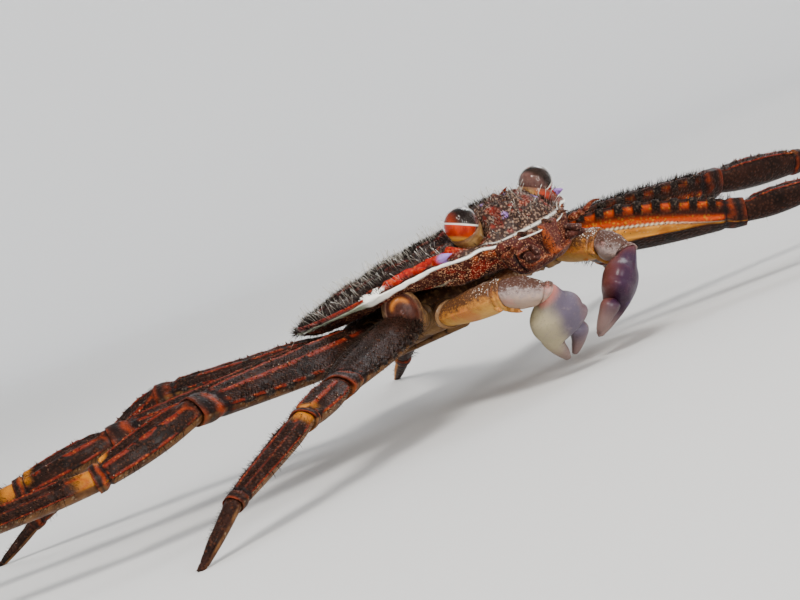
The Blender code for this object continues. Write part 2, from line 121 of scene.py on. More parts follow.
def mirrored(point, side):
    return np.array([side * point[0], point[1], point[2]], float)


def turns(count):
    # equal steps round a circle
    return np.linspace(0, 2 * math.pi, count, endpoint=False)


def oval(centre, wide, thin, angles, halfWidth, halfThick):
    return centre + np.outer(np.cos(angles) * halfWidth, wide) + np.outer(np.sin(angles) * halfThick, thin)


def squareRound(angles, power):
    # the two sides of a circle, boxier as the power falls
    c, s = np.cos(angles), np.sin(angles)
    return np.sign(c) * np.abs(c) ** power, np.sign(s) * np.abs(s) ** power


def meetPlane(points, centres, along, plane, weight):
    # slides points along an axis into the plane through its foot, by their weight
    shift = -((points - centres) @ plane) / (along @ plane)
    return points + along * (shift * weight)[..., None]


# Meshes from grids of points

def gridBlock(points, startPole=None, endPole=None, **values):
    # one closed skin over rows of rings, with named values at its points
    rows, columns = points.shape[:2]
    index = np.arange(rows * columns).reshape(rows, columns)
    turned = np.roll(index, -1, axis=1)
    faces = np.stack([index[:-1], turned[:-1], turned[1:], index[1:]], axis=-1).reshape(-1, 4).tolist()
    vertices = points.reshape(-1, 3)
    full = {name: np.broadcast_to(value, (rows, columns) + np.shape(value)[2:])
            for name, value in values.items()}
    flat = {name: value.reshape((rows * columns,) + value.shape[2:]) for name, value in full.items()}
    for row, pole in ((0, startPole), (rows - 1, endPole)):
        if pole is None:
            continue
        faces += np.stack([index[row], turned[row], np.full(columns, len(vertices))], axis=-1).tolist()
        vertices = np.vstack([vertices, np.asarray(pole, float)[None]])
        for name, value in full.items():
            flat[name] = np.concatenate([flat[name], value[row].mean(axis=0, keepdims=True)])
    return {"points": vertices, "faces": faces, "values": flat}


def addObject(name, data):
    made = bpy.data.objects.new(name, data)
    bpy.context.scene.collection.objects.link(made)
    return made


def smoothOutward(mesh, inward=False):
    # turns every face outward, or inward for a room that is seen from within
    shell = bmesh.new()
    shell.from_mesh(mesh)
    bmesh.ops.recalc_face_normals(shell, faces=shell.faces)
    if inward:
        bmesh.ops.reverse_faces(shell, faces=shell.faces)
    shell.to_mesh(mesh)
    shell.free()
    mesh.polygons.foreach_set("use_smooth", np.ones(len(mesh.polygons), bool))


def assemble(name, blocks, material):
    # one object at the origin out of several blocks
    points, faces, start = [], [], 0
    keys = {key: np.shape(block["values"][key])[1:] for block in blocks for key in block["values"]}
    values = {key: [] for key in keys}
    for block in blocks:
        points.append(block["points"])
        faces += [[i + start for i in face] for face in block["faces"]]
        for key, tail in keys.items():
            values[key].append(block["values"].get(key, np.zeros((len(block["points"]),) + tail)))
        start += len(block["points"])
    mesh = bpy.data.meshes.new(name)
    placed = toWorld(np.vstack(points))
    placed[:, 2] = np.maximum(placed[:, 2], 0)   # the toes end flat on the floor
    mesh.from_pydata(placed.tolist(), [], faces)
    for key, tail in keys.items():
        layer = mesh.attributes.new(key, "FLOAT_VECTOR" if tail else "FLOAT", "POINT")
        packed = np.concatenate(values[key]).astype(np.float32).ravel()
        layer.data.foreach_set("vector" if tail else "value", packed)
    smoothOutward(mesh)
    mesh.materials.append(material)
    return addObject(name, mesh)


def place(piece, slotName, *nodes):
    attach(piece, "root")
    if nodes:
        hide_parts(*nodes)
    return piece


# Shader building

def socketNamed(sockets, name):
    return next(s for s in sockets if s.name == name and s.enabled)


def feed(tree, socket, value):
    # a link from another socket, or a plain value; None leaves the socket as it is
    if isinstance(value, bpy.types.NodeSocket):
        tree.links.new(value, socket)
    elif value is not None:
        socket.default_value = value


def addNode(tree, kind, inputs=None, **settings):
    # a node with its settings, and its inputs fed by name
    node = tree.nodes.new(kind)
    for key, value in settings.items():
        setattr(node, key, value)
    for label, value in (inputs or {}).items():
        feed(tree, socketNamed(node.inputs, label), value)
    return node


def number(tree, operation, a, b=None, c=None, clamp=False):
    node = addNode(tree, "ShaderNodeMath", operation=operation, use_clamp=clamp)
    for socket, value in zip(node.inputs, (a, b, c)):
        feed(tree, socket, value)
    return node.outputs[0]


def vectorMath(tree, operation, a, b=None, scale=None):
    inputs = {} if scale is None else {"Scale": scale}
    node = addNode(tree, "ShaderNodeVectorMath", inputs, operation=operation)
    for socket, value in zip(node.inputs, (a, b)):
        feed(tree, socket, value)
    return node.outputs


def newGroup(name, settings, outputs):
    # a group that works from a place, with number settings and number outputs
    tree = bpy.data.node_groups.new(name, "ShaderNodeTree")
    tree.interface.new_socket(name="Place", in_out="INPUT", socket_type="NodeSocketVector")
    for label, value in settings.items():
        socket = tree.interface.new_socket(name=label, in_out="INPUT", socket_type="NodeSocketFloat")
        socket.default_value = value
    for label in outputs:
        tree.interface.new_socket(name=label, in_out="OUTPUT", socket_type="NodeSocketFloat")
    return tree, addNode(tree, "NodeGroupInput").outputs, addNode(tree, "NodeGroupOutput").inputs


def grainGroup():
    # rounded grains of shell: a mask of their heads, their height and a shade for each
    settings = {"PerMillimetre": 3.0, "HeadSize": 0.42}
    tree, start, end = newGroup("shellGrains", settings, ("Heads", "Height", "Shade"))
    inputs = {"Vector": start["Place"], "Scale": start["PerMillimetre"]}
    cells = addNode(tree, "ShaderNodeTexVoronoi", inputs, feature="F1")
    reach = number(tree, "DIVIDE", cells.outputs["Distance"], start["HeadSize"])
    heads = number(tree, "SUBTRACT", 1.0, reach, clamp=True)
    split = addNode(tree, "ShaderNodeSeparateColor", {"Color": cells.outputs["Color"]})
    feed(tree, end["Heads"], number(tree, "MULTIPLY", heads, 2.2, clamp=True))
    feed(tree, end["Height"], number(tree, "SQRT", heads))
    feed(tree, end["Shade"], split.outputs[0])
    return tree


def mottleGroup():
    # soft blotches of two sizes, from 0 to 1
    tree, start, end = newGroup("shellMottle", {"PerMillimetre": 0.6, "Contrast": 1.6}, ("Blotch", "Fine"))
    for label, times, detail in (("Blotch", 1.0, 3.0), ("Fine", 5.0, 2.0)):
        scale = number(tree, "MULTIPLY", start["PerMillimetre"], times)
        inputs = {"Vector": start["Place"], "Scale": scale, "Detail": detail}
        cloud = addNode(tree, "ShaderNodeTexNoise", inputs)
        centred = number(tree, "SUBTRACT", cloud.outputs["Fac"], 0.5)
        spread = number(tree, "MULTIPLY", centred, start["Contrast"])
        feed(tree, end[label], number(tree, "ADD", spread, 0.5, clamp=True))
    return tree


grains, mottle = grainGroup(), mottleGroup()


class skinPaint:
    # one material in the making: its nodes, the place in millimetres, and the colour laid on so far;
    # a mask or number given as text is read from the skin's value of that name

    def __init__(self, name, roughness, coat=0.0, coatRoughness=0.1, specular=0.14):
        self.material = bpy.data.materials.new(name)
        self.material.use_nodes = True
        self.tree = self.material.node_tree
        self.sockets = self.tree.nodes["Principled BSDF"].inputs
        for label, value in (("Metallic", 0.0), ("Roughness", roughness), ("Specular IOR Level", specular),
                             ("Coat Weight", coat), ("Coat Roughness", coatRoughness)):
            self.sockets[label].default_value = value
        texture = addNode(self.tree, "ShaderNodeTexCoord")
        self.where = vectorMath(self.tree, "SCALE", texture.outputs["Object"], scale=1 / mm)[0]
        self.colour = None

    def use(self, group, **values):
        node = addNode(self.tree, "ShaderNodeGroup", node_tree=group)
        for label, value in (("Place", self.where), *values.items()):
            feed(self.tree, node.inputs[label], value)
        return node.outputs

    def blotches(self, perMillimetre, contrast):
        return self.use(mottle, PerMillimetre=perMillimetre, Contrast=contrast)

    def grain(self, perMillimetre, headSize=0.5):
        return self.use(grains, PerMillimetre=perMillimetre, HeadSize=headSize)

    def read(self, value, kind="Fac"):
        if not isinstance(value, str):
            return value
        return addNode(self.tree, "ShaderNodeAttribute", attribute_name=value).outputs[kind]

    def number(self, operation, *terms, clamp=False):
        return number(self.tree, operation, *[self.read(term) for term in terms], clamp=clamp)

    def times(self, *terms):
        product = terms[0]
        for term in terms[1:]:
            product = self.number("MULTIPLY", product, term)
        return product

    def stretch(self, value, low, high):
        # 0 below low, 1 above high
        inputs = {"Value": self.read(value), "From Min": low, "From Max": high}
        node = addNode(self.tree, "ShaderNodeMapRange", inputs, interpolation_type="SMOOTHSTEP")
        return node.outputs["Result"]

    def heads(self, grain, low, high):
        # the heads of those grains whose shade is above low
        return self.times(grain["Heads"], self.stretch(grain["Shade"], low, high))

    def mix(self, factor, a, b):
        a, b = ((*value, 1.0) if isinstance(value, tuple) else value for value in (a, b))
        inputs = {"Factor": self.read(factor), "A": a, "B": b}
        return socketNamed(addNode(self.tree, "ShaderNodeMix", inputs, data_type="RGBA").outputs, "Result")

    def cover(self, mask, colour):
        self.colour = self.mix(mask, self.colour, colour)

    def glow(self, mask, colour):
        feed(self.tree, self.sockets["Emission Color"], self.mix(mask, black, colour))
        self.sockets["Emission Strength"].default_value = 1.0

    def uneven(self, value, spread, least):
        feed(self.tree, self.sockets["Roughness"], self.number("MULTIPLY_ADD", value, spread, least))

    def finish(self, height=None, distance=0.0):
        feed(self.tree, self.sockets["Base Color"], self.colour)
        if height is not None:
            inputs = {"Strength": 1.0, "Distance": distance * mm, "Height": height}
            relief = addNode(self.tree, "ShaderNodeBump", inputs)
            feed(self.tree, self.sockets["Normal"], relief.outputs["Normal"])
        return self.material


shellColours = {
    "dark": (0.006, 0.004, 0.004), "brown": (0.03, 0.012, 0.008), "grain": (0.1, 0.036, 0.016),
    "browDark": (0.034, 0.018, 0.014), "browGrain": (0.23, 0.145, 0.1), "browRed": (0.17, 0.012, 0.006),
    "ridge": (0.3, 0.008, 0.003), "ridgeLight": (0.48, 0.055, 0.01), "line": (0.9, 0.87, 0.78),
    "wall": (0.042, 0.008, 0.005), "wallGrain": (0.56, 0.29, 0.15), "orange": (0.48, 0.08, 0.01),
    "pale": (0.38, 0.42, 0.3), "lavender": (0.36, 0.2, 0.56), "stripe": (0.16, 0.23, 0.19),
    "lineGlow": (0.2, 0.19, 0.16),
}


def shellSkin():
    c = shellColours
    paint = skinPaint("shellSkin", 0.5, coat=0.03, coatRoughness=0.2, specular=0.08)
    blotch, grain, wallGrain = paint.blotches(0.55, 2.6), paint.grain(3.4), paint.grain(6.2)
    # the dark top and the crusty brow
    paint.colour = paint.mix(blotch["Blotch"], c["dark"], c["brown"])
    paint.cover(paint.times(grain["Heads"], blotch["Fine"]), c["grain"])
    brow = paint.mix(grain["Heads"], c["browDark"], c["browGrain"])
    brow = paint.mix(paint.times(paint.stretch(blotch["Blotch"], 0.66, 0.88), 0.6), brow, c["browRed"])
    paint.cover(paint.times("brow", 0.85), brow)
    # the granular side wall
    patch = paint.number("MULTIPLY_ADD", paint.stretch(blotch["Blotch"], 0.2, 0.7), 0.65, 0.35)
    wall = paint.mix(paint.times(paint.heads(wallGrain, 0.02, 0.4), patch), c["wall"], c["wallGrain"])
    wall = paint.mix(paint.times(paint.stretch(blotch["Blotch"], 0.62, 0.85), 0.4), wall, c["ridge"])
    paint.cover("wall", wall)
    paint.cover("stripe", c["stripe"])
    paint.cover("ridge", paint.mix(paint.stretch(blotch["Fine"], 0.4, 0.9), c["ridge"], c["ridgeLight"]))
    for mask in ("orange", "pale", "lavender", "line"):
        paint.cover(mask, c[mask])
    # the pale line also glows faintly though it is no lamp: painted light that keeps it bright where it faces
    # away from the lamps
    paint.glow("line", c["lineGlow"])
    paint.uneven(blotch["Fine"], 0.22, 0.42)
    quiet = paint.number("SUBTRACT", 1.0, "line", clamp=True)
    return paint.finish(paint.times(grain["Height"], quiet), 0.09)


# The floor, the pale bowl behind it, the lights and the camera

studio = {"floorRadius": 1.1, "wallRise": 1.5, "rows": 40, "columns": 96, "floorColour": (0.66, 0.655, 0.64),
          "farColour": (0.93, 0.93, 0.925), "farGlow": (0.16, 0.165, 0.17), "farFrom": 250.0, "farTo": 900.0,
          "airColour": (0.93, 0.95, 1.0, 1), "airStrength": 0.52}
photoView = {"azimuth": 40, "rise": 3, "roll": 21, "distance": 230, "target": (-7.352, -4.392, 11.250),
             "lens": 110, "sensor": 36, "nearest": 0.01, "farthest": 10}
# each lamp's place is in metres to the right of, above and behind the crab, as the camera sees it
lamps = {
    "keyLamp": {"power": 2.6, "size": 0.16, "offset": (-0.16, 0.36, 0.34), "colour": (1.0, 0.97, 0.93)},
    "fillLamp": {"power": 8.6, "size": 0.5, "offset": (0.3, 0.4, 0.86), "colour": (1.0, 0.98, 0.95)},
    "rimLamp": {"power": 1.1, "size": 0.22, "offset": (0.1, 0.46, -0.34), "colour": (0.95, 0.97, 1.0)},
}


def paperSkin():
    pale = studio["floorColour"]
    paint = skinPaint("studioPaper", 0.85)
    tone = paint.blotches(0.01, 0.5)
    apart = vectorMath(paint.tree, "LENGTH", paint.where)["Value"]
    far = paint.stretch(apart, studio["farFrom"], studio["farTo"])
    paint.colour = paint.mix(tone["Blotch"], pale, tuple(v * 0.95 for v in pale))
    paint.cover(far, studio["farColour"])
    paint.glow(far, studio["farGlow"])
    return paint.finish()


def stageRoom():
    # a flat floor that rises into a bowl half way out
    rings, angles = [], turns(studio["columns"])
    for f in np.arange(studio["rows"]) / (studio["rows"] - 1):
        if f < 0.5:
            radius, level = studio["floorRadius"] * 0.02 + studio["floorRadius"] * 1.6 * f, 0.0
        else:
            turn = (f - 0.5) * math.pi
            radius = studio["floorRadius"] * (0.82 + 0.5 * math.sin(turn))
            level = studio["wallRise"] * (1 - math.cos(turn))
        rings.append(oval((0, 0, level), (1, 0, 0), (0, 1, 0), angles, radius, radius))
    block = gridBlock(np.array(rings), startPole=(0, 0, 0))
    mesh = bpy.data.meshes.new("studioFloor")
    mesh.from_pydata(block["points"].tolist(), [], block["faces"])
    smoothOutward(mesh, inward=True)
    mesh.materials.append(paperSkin())
    addObject("studioFloor", mesh)


def cameraAxes():
    azimuth, rise, roll = (math.radians(photoView[key]) for key in ("azimuth", "rise", "roll"))
    level = Vector((-math.sin(azimuth), -math.cos(azimuth), 0))
    back = level * math.cos(rise) + Vector((0, 0, math.sin(rise)))
    right = Vector((math.cos(azimuth), -math.sin(azimuth), 0))
    up = back.cross(right)
    return right * math.cos(roll) - up * math.sin(roll), right * math.sin(roll) + up * math.cos(roll), back


def addCamera():
    right, up, back = cameraAxes()
    viewPoint = Vector(photoView["target"]) * mm + back * (photoView["distance"] * mm)
    optics = bpy.data.cameras.new("photoCamera")
    optics.lens, optics.sensor_width = photoView["lens"], photoView["sensor"]
    optics.clip_start, optics.clip_end = photoView["nearest"], photoView["farthest"]
    camera = addObject("photoCamera", optics)
    camera.matrix_world = Matrix.Translation(viewPoint) @ Matrix((right, up, back)).transposed().to_4x4()
    bpy.context.scene.camera = camera


def lightStudio():
    world = bpy.data.worlds.new("studioAir")
    world.use_nodes = True
    air = world.node_tree.nodes["Background"].inputs
    air["Color"].default_value = studio["airColour"]
    air["Strength"].default_value = studio["airStrength"]
    bpy.context.scene.world = world
    for name, lamp in lamps.items():
        light = bpy.data.lights.new(name, "AREA")
        light.energy, light.size, light.color = lamp["power"], lamp["size"], lamp["colour"]
        spot = sum((axis * reach for axis, reach in zip(cameraAxes(), lamp["offset"])), Vector())
        holder = addObject(name, light)
        holder.location = spot
        holder.rotation_euler = spot.to_track_quat("Z", "Y").to_euler()


stageRoom()
addCamera()
lightStudio()
print("stage, camera and lights set")


# The shield

shield = {
    "halfWidth": 14.7, "halfLength": 15.6, "columns": 480, "innerRows": 46, "marginRows": 34, "underRows": 34,
    "orbitRecess": 1.7, "shoulderRecess": 2.6, "shoulderAngle": 42, "shoulderSpread": 18,
    "dome": 1.5, "foreheadHeight": 1.7, "foreheadHalfWidth": 3.4, "frontDrop": 1.5,
    "sideDepth": 1.3, "mouthDepth": 3.0,
    "ridgeAt": 0.945, "ridgeHeight": 0.55, "ridgeFrom": 24, "ridgeTo": 62, "rearRidgeAt": 0.965,
    "bareRise": 0.22, "lineWidth": 0.3, "lineBelow": 0.14, "beadHeight": 0.16,
    "toothSpot": (12.2, -4.6, 0.0), "toothSize": (1.0, 1.15, 0.8),
}
# how the wall and the floor under the shield run in: shares of the way down, of the margin and of the depth
underStations = (0, 0.12, 0.42, 0.66, 0.84, 1.0)
underSteps = (1.0, 0.985, 0.93, 0.86, 0.72, 0.34)
underShares = (0.0, 0.18, 0.6, 0.92, 1.0, 1.0)
eye = {
    "centre": (5.25, -11.2, 2.0), "axis": (0.45, -0.35, 0.82), "radius": 1.65, "ballRadius": 1.555,
    "glassGap": 0.03, "socketRadius": 2.35, "bandNormal": (-0.39, -0.27, 0.88),
    "bandLevel": {1: -0.45, -1: 0.02}, "outerWay": (0.8, 0.6, 0.0), "innerWay": (-0.95, -0.1, 0.0),
    "redWay": (0.3, -0.9, -0.2),
}
# raised regions of the shield: middle, half widths and height
regions = (((0, -4.5), (2.6, 3.2), 0.35), ((4.6, -5.4), (2.0, 2.6), 0.28), ((0, 1.6), (2.2, 2.4), 0.22),
           ((0, 6.4), (2.6, 2.2), 0.3), ((8.2, -1.5), (2.4, 4.0), 0.26), ((7.2, 5.2), (3.0, 3.4), 0.24),
           ((10.6, -6.6), (1.7, 1.6), 0.22), ((0, 11.2), (3.6, 1.6), 0.16))
# short bare red ridges that break the pile: middle, length across, turn in degrees
bareRidges = (((3.4, -6.4), 2.2, 24), ((5.8, -7.4), 1.6, 40), ((2.6, -2.2), 1.8, 12), ((7.4, -3.2), 2.4, 52),
              ((9.8, -0.6), 2.6, 70), ((5.0, 1.2), 2.4, 30), ((8.6, 3.2), 2.8, 62), ((2.9, 5.0), 2.0, 8),
              ((6.4, 7.0), 2.6, 44), ((10.8, 6.0), 2.2, 78), ((3.6, 9.6), 2.4, 20), ((11.8, -3.8), 1.8, 66))
# lavender bumps of the brow: place and radius
lavenderSpots = (((8.0, -9.9), 0.5), ((2.2, -13.6), 0.34), ((1.5, -10.6), 0.3))


def marginPoint(angle):
    x = shield["halfWidth"] * np.cos(angle)
    y = -shield["halfLength"] * np.sin(angle)
    degrees = np.degrees(np.arcsin(np.clip(np.sin(angle), -1, 1)))
    shoulder = hump(degrees, shield["shoulderAngle"], shield["shoulderSpread"]) * np.clip(degrees / 10, 0, 1)
    back = shield["shoulderRecess"] * shoulder
    orbit = np.where(y < 0, shield["orbitRecess"] * hump(np.abs(x), 5.6, 2.4), 0)
    return x - np.sign(x) * back * sightSide, y + orbit + back * sightBack


def frontDrop(y):
    return shield["frontDrop"] * np.clip((-y - 9) / 6.5, 0, 1) ** 1.3


def forehead(x, y):
    fall = 1 - 0.25 * np.clip((-y - 12) / 3, 0, 1)
    middle = np.exp(-(x / shield["foreheadHalfWidth"]) ** 4)
    return shield["foreheadHeight"] * smoothStep(-y, 3, 9) * fall * middle


def bareRidgeMask(x, y):
    mask = np.zeros_like(x)
    for (cx, cy), reach, turn in bareRidges:
        a = math.radians(turn)
        for side in (-1, 1):
            dx, dy = x - side * cx, y - cy
            along = side * dx * math.cos(a) + dy * math.sin(a)
            across = -side * dx * math.sin(a) + dy * math.cos(a) - 0.12 * along * along / reach
            within = smoothStep(reach / 2 + 0.2 - np.abs(along), 0, 0.5)
            mask = np.maximum(mask, hump(across, 0, 0.2) * within)
    return mask


def shieldTop(mx, my, degrees, t):
    # the upper face out of shares of the margin, and how much of each point is bare red ridge
    s = shield
    x, y = mx[None] * t, my[None] * t
    flat = np.stack([x, y, np.zeros_like(x)], axis=-1)
    inner = smoothStep(1 - t, 0.02, 0.12)
    level = s["dome"] * (1 - t ** 2.4) - 0.15 * t ** 8 + forehead(x, y) * (1 - t ** 24)
    for (cx, cy), (wx, wy), height in regions:
        for side in ((-1, 1) if cx else (1,)):
            level = level + height * np.exp(-((x - side * cx) / wx) ** 2 - ((y - cy) / wy) ** 2) * inner
    level = level + (latticeNoise(flat, 1.5, 3) * 0.12 + latticeNoise(flat, 0.6, 5) * 0.07) * inner
    brow = smoothStep(-y, 8, 11) * np.exp(-(x / 3.2) ** 4)
    level = level + latticeNoise(flat, 0.75, 9) * 0.22 * brow * inner
    crust = latticeNoise(flat, 0.42, 13) * 0.16 + np.abs(latticeNoise(flat, 0.9, 15)) * 0.22
    level = level + crust * smoothStep(-y, 7.5, 10.5) * inner
    bare = bareRidgeMask(x, y) * inner
    level = level + bare * s["bareRise"]
    # the red ridge along the front edge, and its lower run behind
    span = between(degrees, s["ridgeFrom"] - 3, s["ridgeFrom"] + 3, s["ridgeTo"] - 2, s["ridgeTo"] + 3)
    cord = hump(t + latticeNoise(flat, 0.8, 21) * 0.006, s["ridgeAt"], 0.016) * span
    level = level + cord * s["ridgeHeight"] * (1 + 0.25 * latticeNoise(flat, 0.5, 31))
    behind = 1 - smoothStep(degrees, s["ridgeFrom"] - 8, s["ridgeFrom"])
    rearCord = hump(t, s["rearRidgeAt"], 0.014) * behind
    level = level + rearCord * s["bareRise"]
    red = np.clip(cord * 1.6, 0, 1) + np.clip(rearCord * 0.8, 0, 0.7) + bare * 0.5
    return np.stack([x, y, level - frontDrop(y) * t ** 8], axis=-1), red


def shieldUnder(mx, my, degrees, q):
    # the wall and the floor under the margin, and how deep each point lies
    s = shield
    step, share = curveThrough(q, underStations, underSteps), curveThrough(q, underStations, underShares)
    x, y = mx[None] * step, my[None] * step
    depth = s["sideDepth"] + (s["mouthDepth"] - s["sideDepth"]) * np.clip((-y - 5.8) / 3.2, 0, 1)
    flat = np.stack([x, y, -depth * share], axis=-1)
    rough = latticeNoise(flat, 0.7, 41) * 0.07 * smoothStep(q, 0.1, 0.3)
    sink = -0.15 * (1 - q) - depth * share - frontDrop(y) + rough
    grooves = hump(share * depth, 1.55, 0.16) + 0.7 * hump(share * depth, 2.3, 0.14)
    pull = 1 - 0.01 * grooves * smoothStep(degrees[None], 10, 25)
    return np.stack([x * pull, y * pull, sink], axis=-1), share * depth


def paleLines(points, below, degrees):
    # the white side line with its spot by the fourth tooth, the thin line over it, and the dull rear run
    s = shield
    swell = 0.42 + 0.62 * hump(degrees, 30, 13) + 0.95 * hump(degrees, 20, 6)
    width = s["lineWidth"] * swell * (1 - 0.45 * smoothStep(degrees, 58, 84))
    ragged = latticeNoise(points, 0.45, 51) * 0.07 * (1 - 0.8 * smoothStep(degrees, 50, 62))
    onLine = 1 - smoothStep(np.abs(below - s["lineBelow"] + ragged), width * 0.75, width * 1.15)
    forward = smoothStep(degrees, 15, 20)
    line = onLine * forward
    for side in (-1, 1):
        away = (points - mirrored(s["toothSpot"], side)) / np.array(s["toothSize"])
        lump = np.linalg.norm(away, axis=-1) + latticeNoise(points, 0.4, 53) * 0.45
        line = np.maximum(line, 1 - smoothStep(lump, 0.62, 0.8))
    thin = 1 - smoothStep(np.abs(below + 0.19 + 0.5 * ragged), 0.015, 0.045)
    thin = thin * smoothStep(degrees, 66, 74) * 0.7
    return line, thin, onLine * (1 - forward) * smoothStep(degrees, -52, -30)


def sinkSockets(points):
    # the two eye sockets with their raised rims
    for side in (-1, 1):
        centre, axis = mirrored(eye["centre"], side), unit(mirrored(eye["axis"], side))
        away = points - centre
        height = away @ axis
        radial = np.linalg.norm(away - height[..., None] * axis, axis=-1)
        floorLevel = -2.5 + 1.5 * (radial / 2.1) ** 3
        within = (1 - smoothStep(radial, 1.95, eye["socketRadius"])) * (height < 1.5)
        push = np.clip(height - floorLevel, 0, None) * within
        points = points - axis * push[..., None]
        rim = hump(radial, eye["socketRadius"], 0.35) * (height > -3.4) * (height < 1.0)
        points = points + axis * (rim * 0.32)[..., None]
    return points


def shieldColouring(points, below, degrees, t, red, lines):
    # where each colour of the shield lies
    x, y = points[..., 0], points[..., 1]
    line, thin, dull = lines
    wall = smoothStep(below, 0.05, 0.35)
    browSpots = smoothStep(latticeNoise(points, 0.5, 61), 0.35, 0.6) * smoothStep(-y, 9, 11) * (1 - wall)
    orange = between(degrees, 60, 66, 76, 84) * hump(below, 0.62, 0.3)
    lavender = np.zeros_like(below)
    for side, (spot, size) in itertools.product((-1, 1), lavenderSpots):
        away = np.hypot(x - side * spot[0], y - spot[1])
        broken = smoothStep(latticeNoise(points, 0.25, 71), -0.5, 0.1)
        lavender = np.maximum(lavender, (1 - smoothStep(away, size * 0.6, size)) * (1 - wall) * broken)
    lower = 0.5 * (1 - smoothStep(np.abs(below - 1.95), 0.05, 0.16)) * between(degrees, 18, 26, 44, 52)
    return {
        "wall": wall, "line": np.clip(line + thin, 0, 1), "pale": np.clip(dull + lower, 0, 1),
        "ridge": np.clip(red + browSpots * 0.35, 0, 1), "brow": smoothStep(-y, 8.0, 10.5) * (1 - wall),
        "orange": orange * smoothStep(latticeNoise(points, 0.7, 63), -0.3, 0.3), "lavender": lavender,
        "stripe": hump(x, 0, 0.45) * smoothStep(y, -7.5, -5) * (1 - smoothStep(t, 0.93, 0.97)) * 0.65,
    }


def shieldCoat(points, below, degrees, line, colouring):
    # how thick and how long the pile, the pale hairs and the thorns stand, and which way they lie
    wall, ridge, brow = (colouring[key] for key in ("wall", "ridge", "brow"))
    edge = smoothStep(below, -0.42, -0.2) * smoothStep(degrees, -30, 10)
    coat = (1 - wall) * (1 - 0.97 * np.clip(ridge * 1.3, 0, 1)) * (1 - edge)
    for side in (-1, 1):
        away = np.linalg.norm(points - mirrored(eye["centre"], side), axis=-1)
        coat = coat * smoothStep(away, eye["socketRadius"], 2.9)
    clumps = 0.35 + 0.65 * smoothStep(latticeNoise(points, 1.3, 81), -0.35, 0.35)
    tufts = smoothStep(latticeNoise(points, 0.9, 87), -0.2, 0.5)
    tufts = tufts * (0.55 + 0.45 * smoothStep(below, -3.0, -1.0))
    wallTufts = 0.1 * wall * smoothStep(latticeNoise(points, 0.5, 83), 0.1, 0.5) * (below < 2.6)
    spots = 0.1 + 0.55 * brow * smoothStep(latticeNoise(points, 0.8, 97), -0.5, 0.4)
    thorns = spots * (1 - wall) + 0.5 * ridge * (1 - wall) + 0.25 * wall * (below < 2.4)
    long = smoothStep(latticeNoise(points, 1.1, 91), -0.5, 0.6)
    x, y = points[..., 0], points[..., 1]
    return {
        "coatShare": np.clip(coat * (1 - 0.72 * brow) * clumps + wallTufts, 0, 1),
        "coatLength": 0.34 + 0.22 * long + 0.12 * smoothStep(below, -3.0, -0.8),
        "hairShare": np.clip(coat * tufts * (1 - 0.15 * brow), 0, 1),
        "hairLength": 0.8 + 0.55 * smoothStep(latticeNoise(points, 1.2, 93), -0.5, 0.6),
        "thornShare": np.clip(thorns, 0, 1) * (1 - line), "thornLength": 0.11 + 0.05 * brow + 0.04 * ridge,
        "lie": np.stack([x * 0.02, 0.25 - y * 0.012, np.full_like(x, 0.5)], axis=-1),
    }


def shieldSkin():
    s = shield
    angles = turns(s["columns"])
    inner, margin = np.linspace(0.02, 0.84, s["innerRows"]), np.linspace(0.846, 1.0, s["marginRows"])
    steps = np.concatenate([inner, margin])
    under = np.linspace(0.02, 1.0, s["underRows"])
    mx, my = marginPoint(angles)
    # 0 at the side, 90 in front, -90 behind
    degrees = np.degrees(np.abs(np.arctan2(np.sin(angles), np.abs(np.cos(angles)))))
    degrees = np.where(np.sin(angles) < 0, -degrees, degrees)
    topPoints, red = shieldTop(mx, my, degrees, steps[:, None])
    underPoints, depths = shieldUnder(mx, my, degrees, under[:, None])
    points = np.concatenate([topPoints, underPoints])
    below = np.concatenate([-(1 - steps[:, None]) * 15.0 * np.ones_like(red), depths])
    red = np.concatenate([red, np.zeros_like(depths)])
    # the bead that carries the pale line
    line, thin, dull = paleLines(points, below, degrees)
    outward = unit(points * (1, 1, 0))
    points = points + outward * (s["beadHeight"] * np.clip(line + 0.6 * dull, 0, 1))[..., None]
    points = sinkSockets(points)
    share = np.concatenate([steps, np.ones_like(under)])[:, None]
    colouring = shieldColouring(points, below, degrees, share, red, (line, thin, dull))
    polar = np.concatenate([steps * 0.33, 0.33 + under * 0.15])[:, None]
    across, along = 0.5 + polar * np.cos(angles)[None], 0.5 + polar * np.sin(angles)[None]
    root = np.stack([across, along, 0 * below], axis=-1)
    block = gridBlock(points, (0, 0, s["dome"] + 0.15), (0, 0, -s["sideDepth"]), rootPlace=root, **colouring,
                      **shieldCoat(points, below, degrees, line, colouring))
    return assemble("shieldShell", [block], shellMaterial)


shellMaterial = shellSkin()
shieldShell = shieldSkin()
print("shield:", len(shieldShell.data.polygons), "faces")


# Walking legs: the same skeleton as the solids

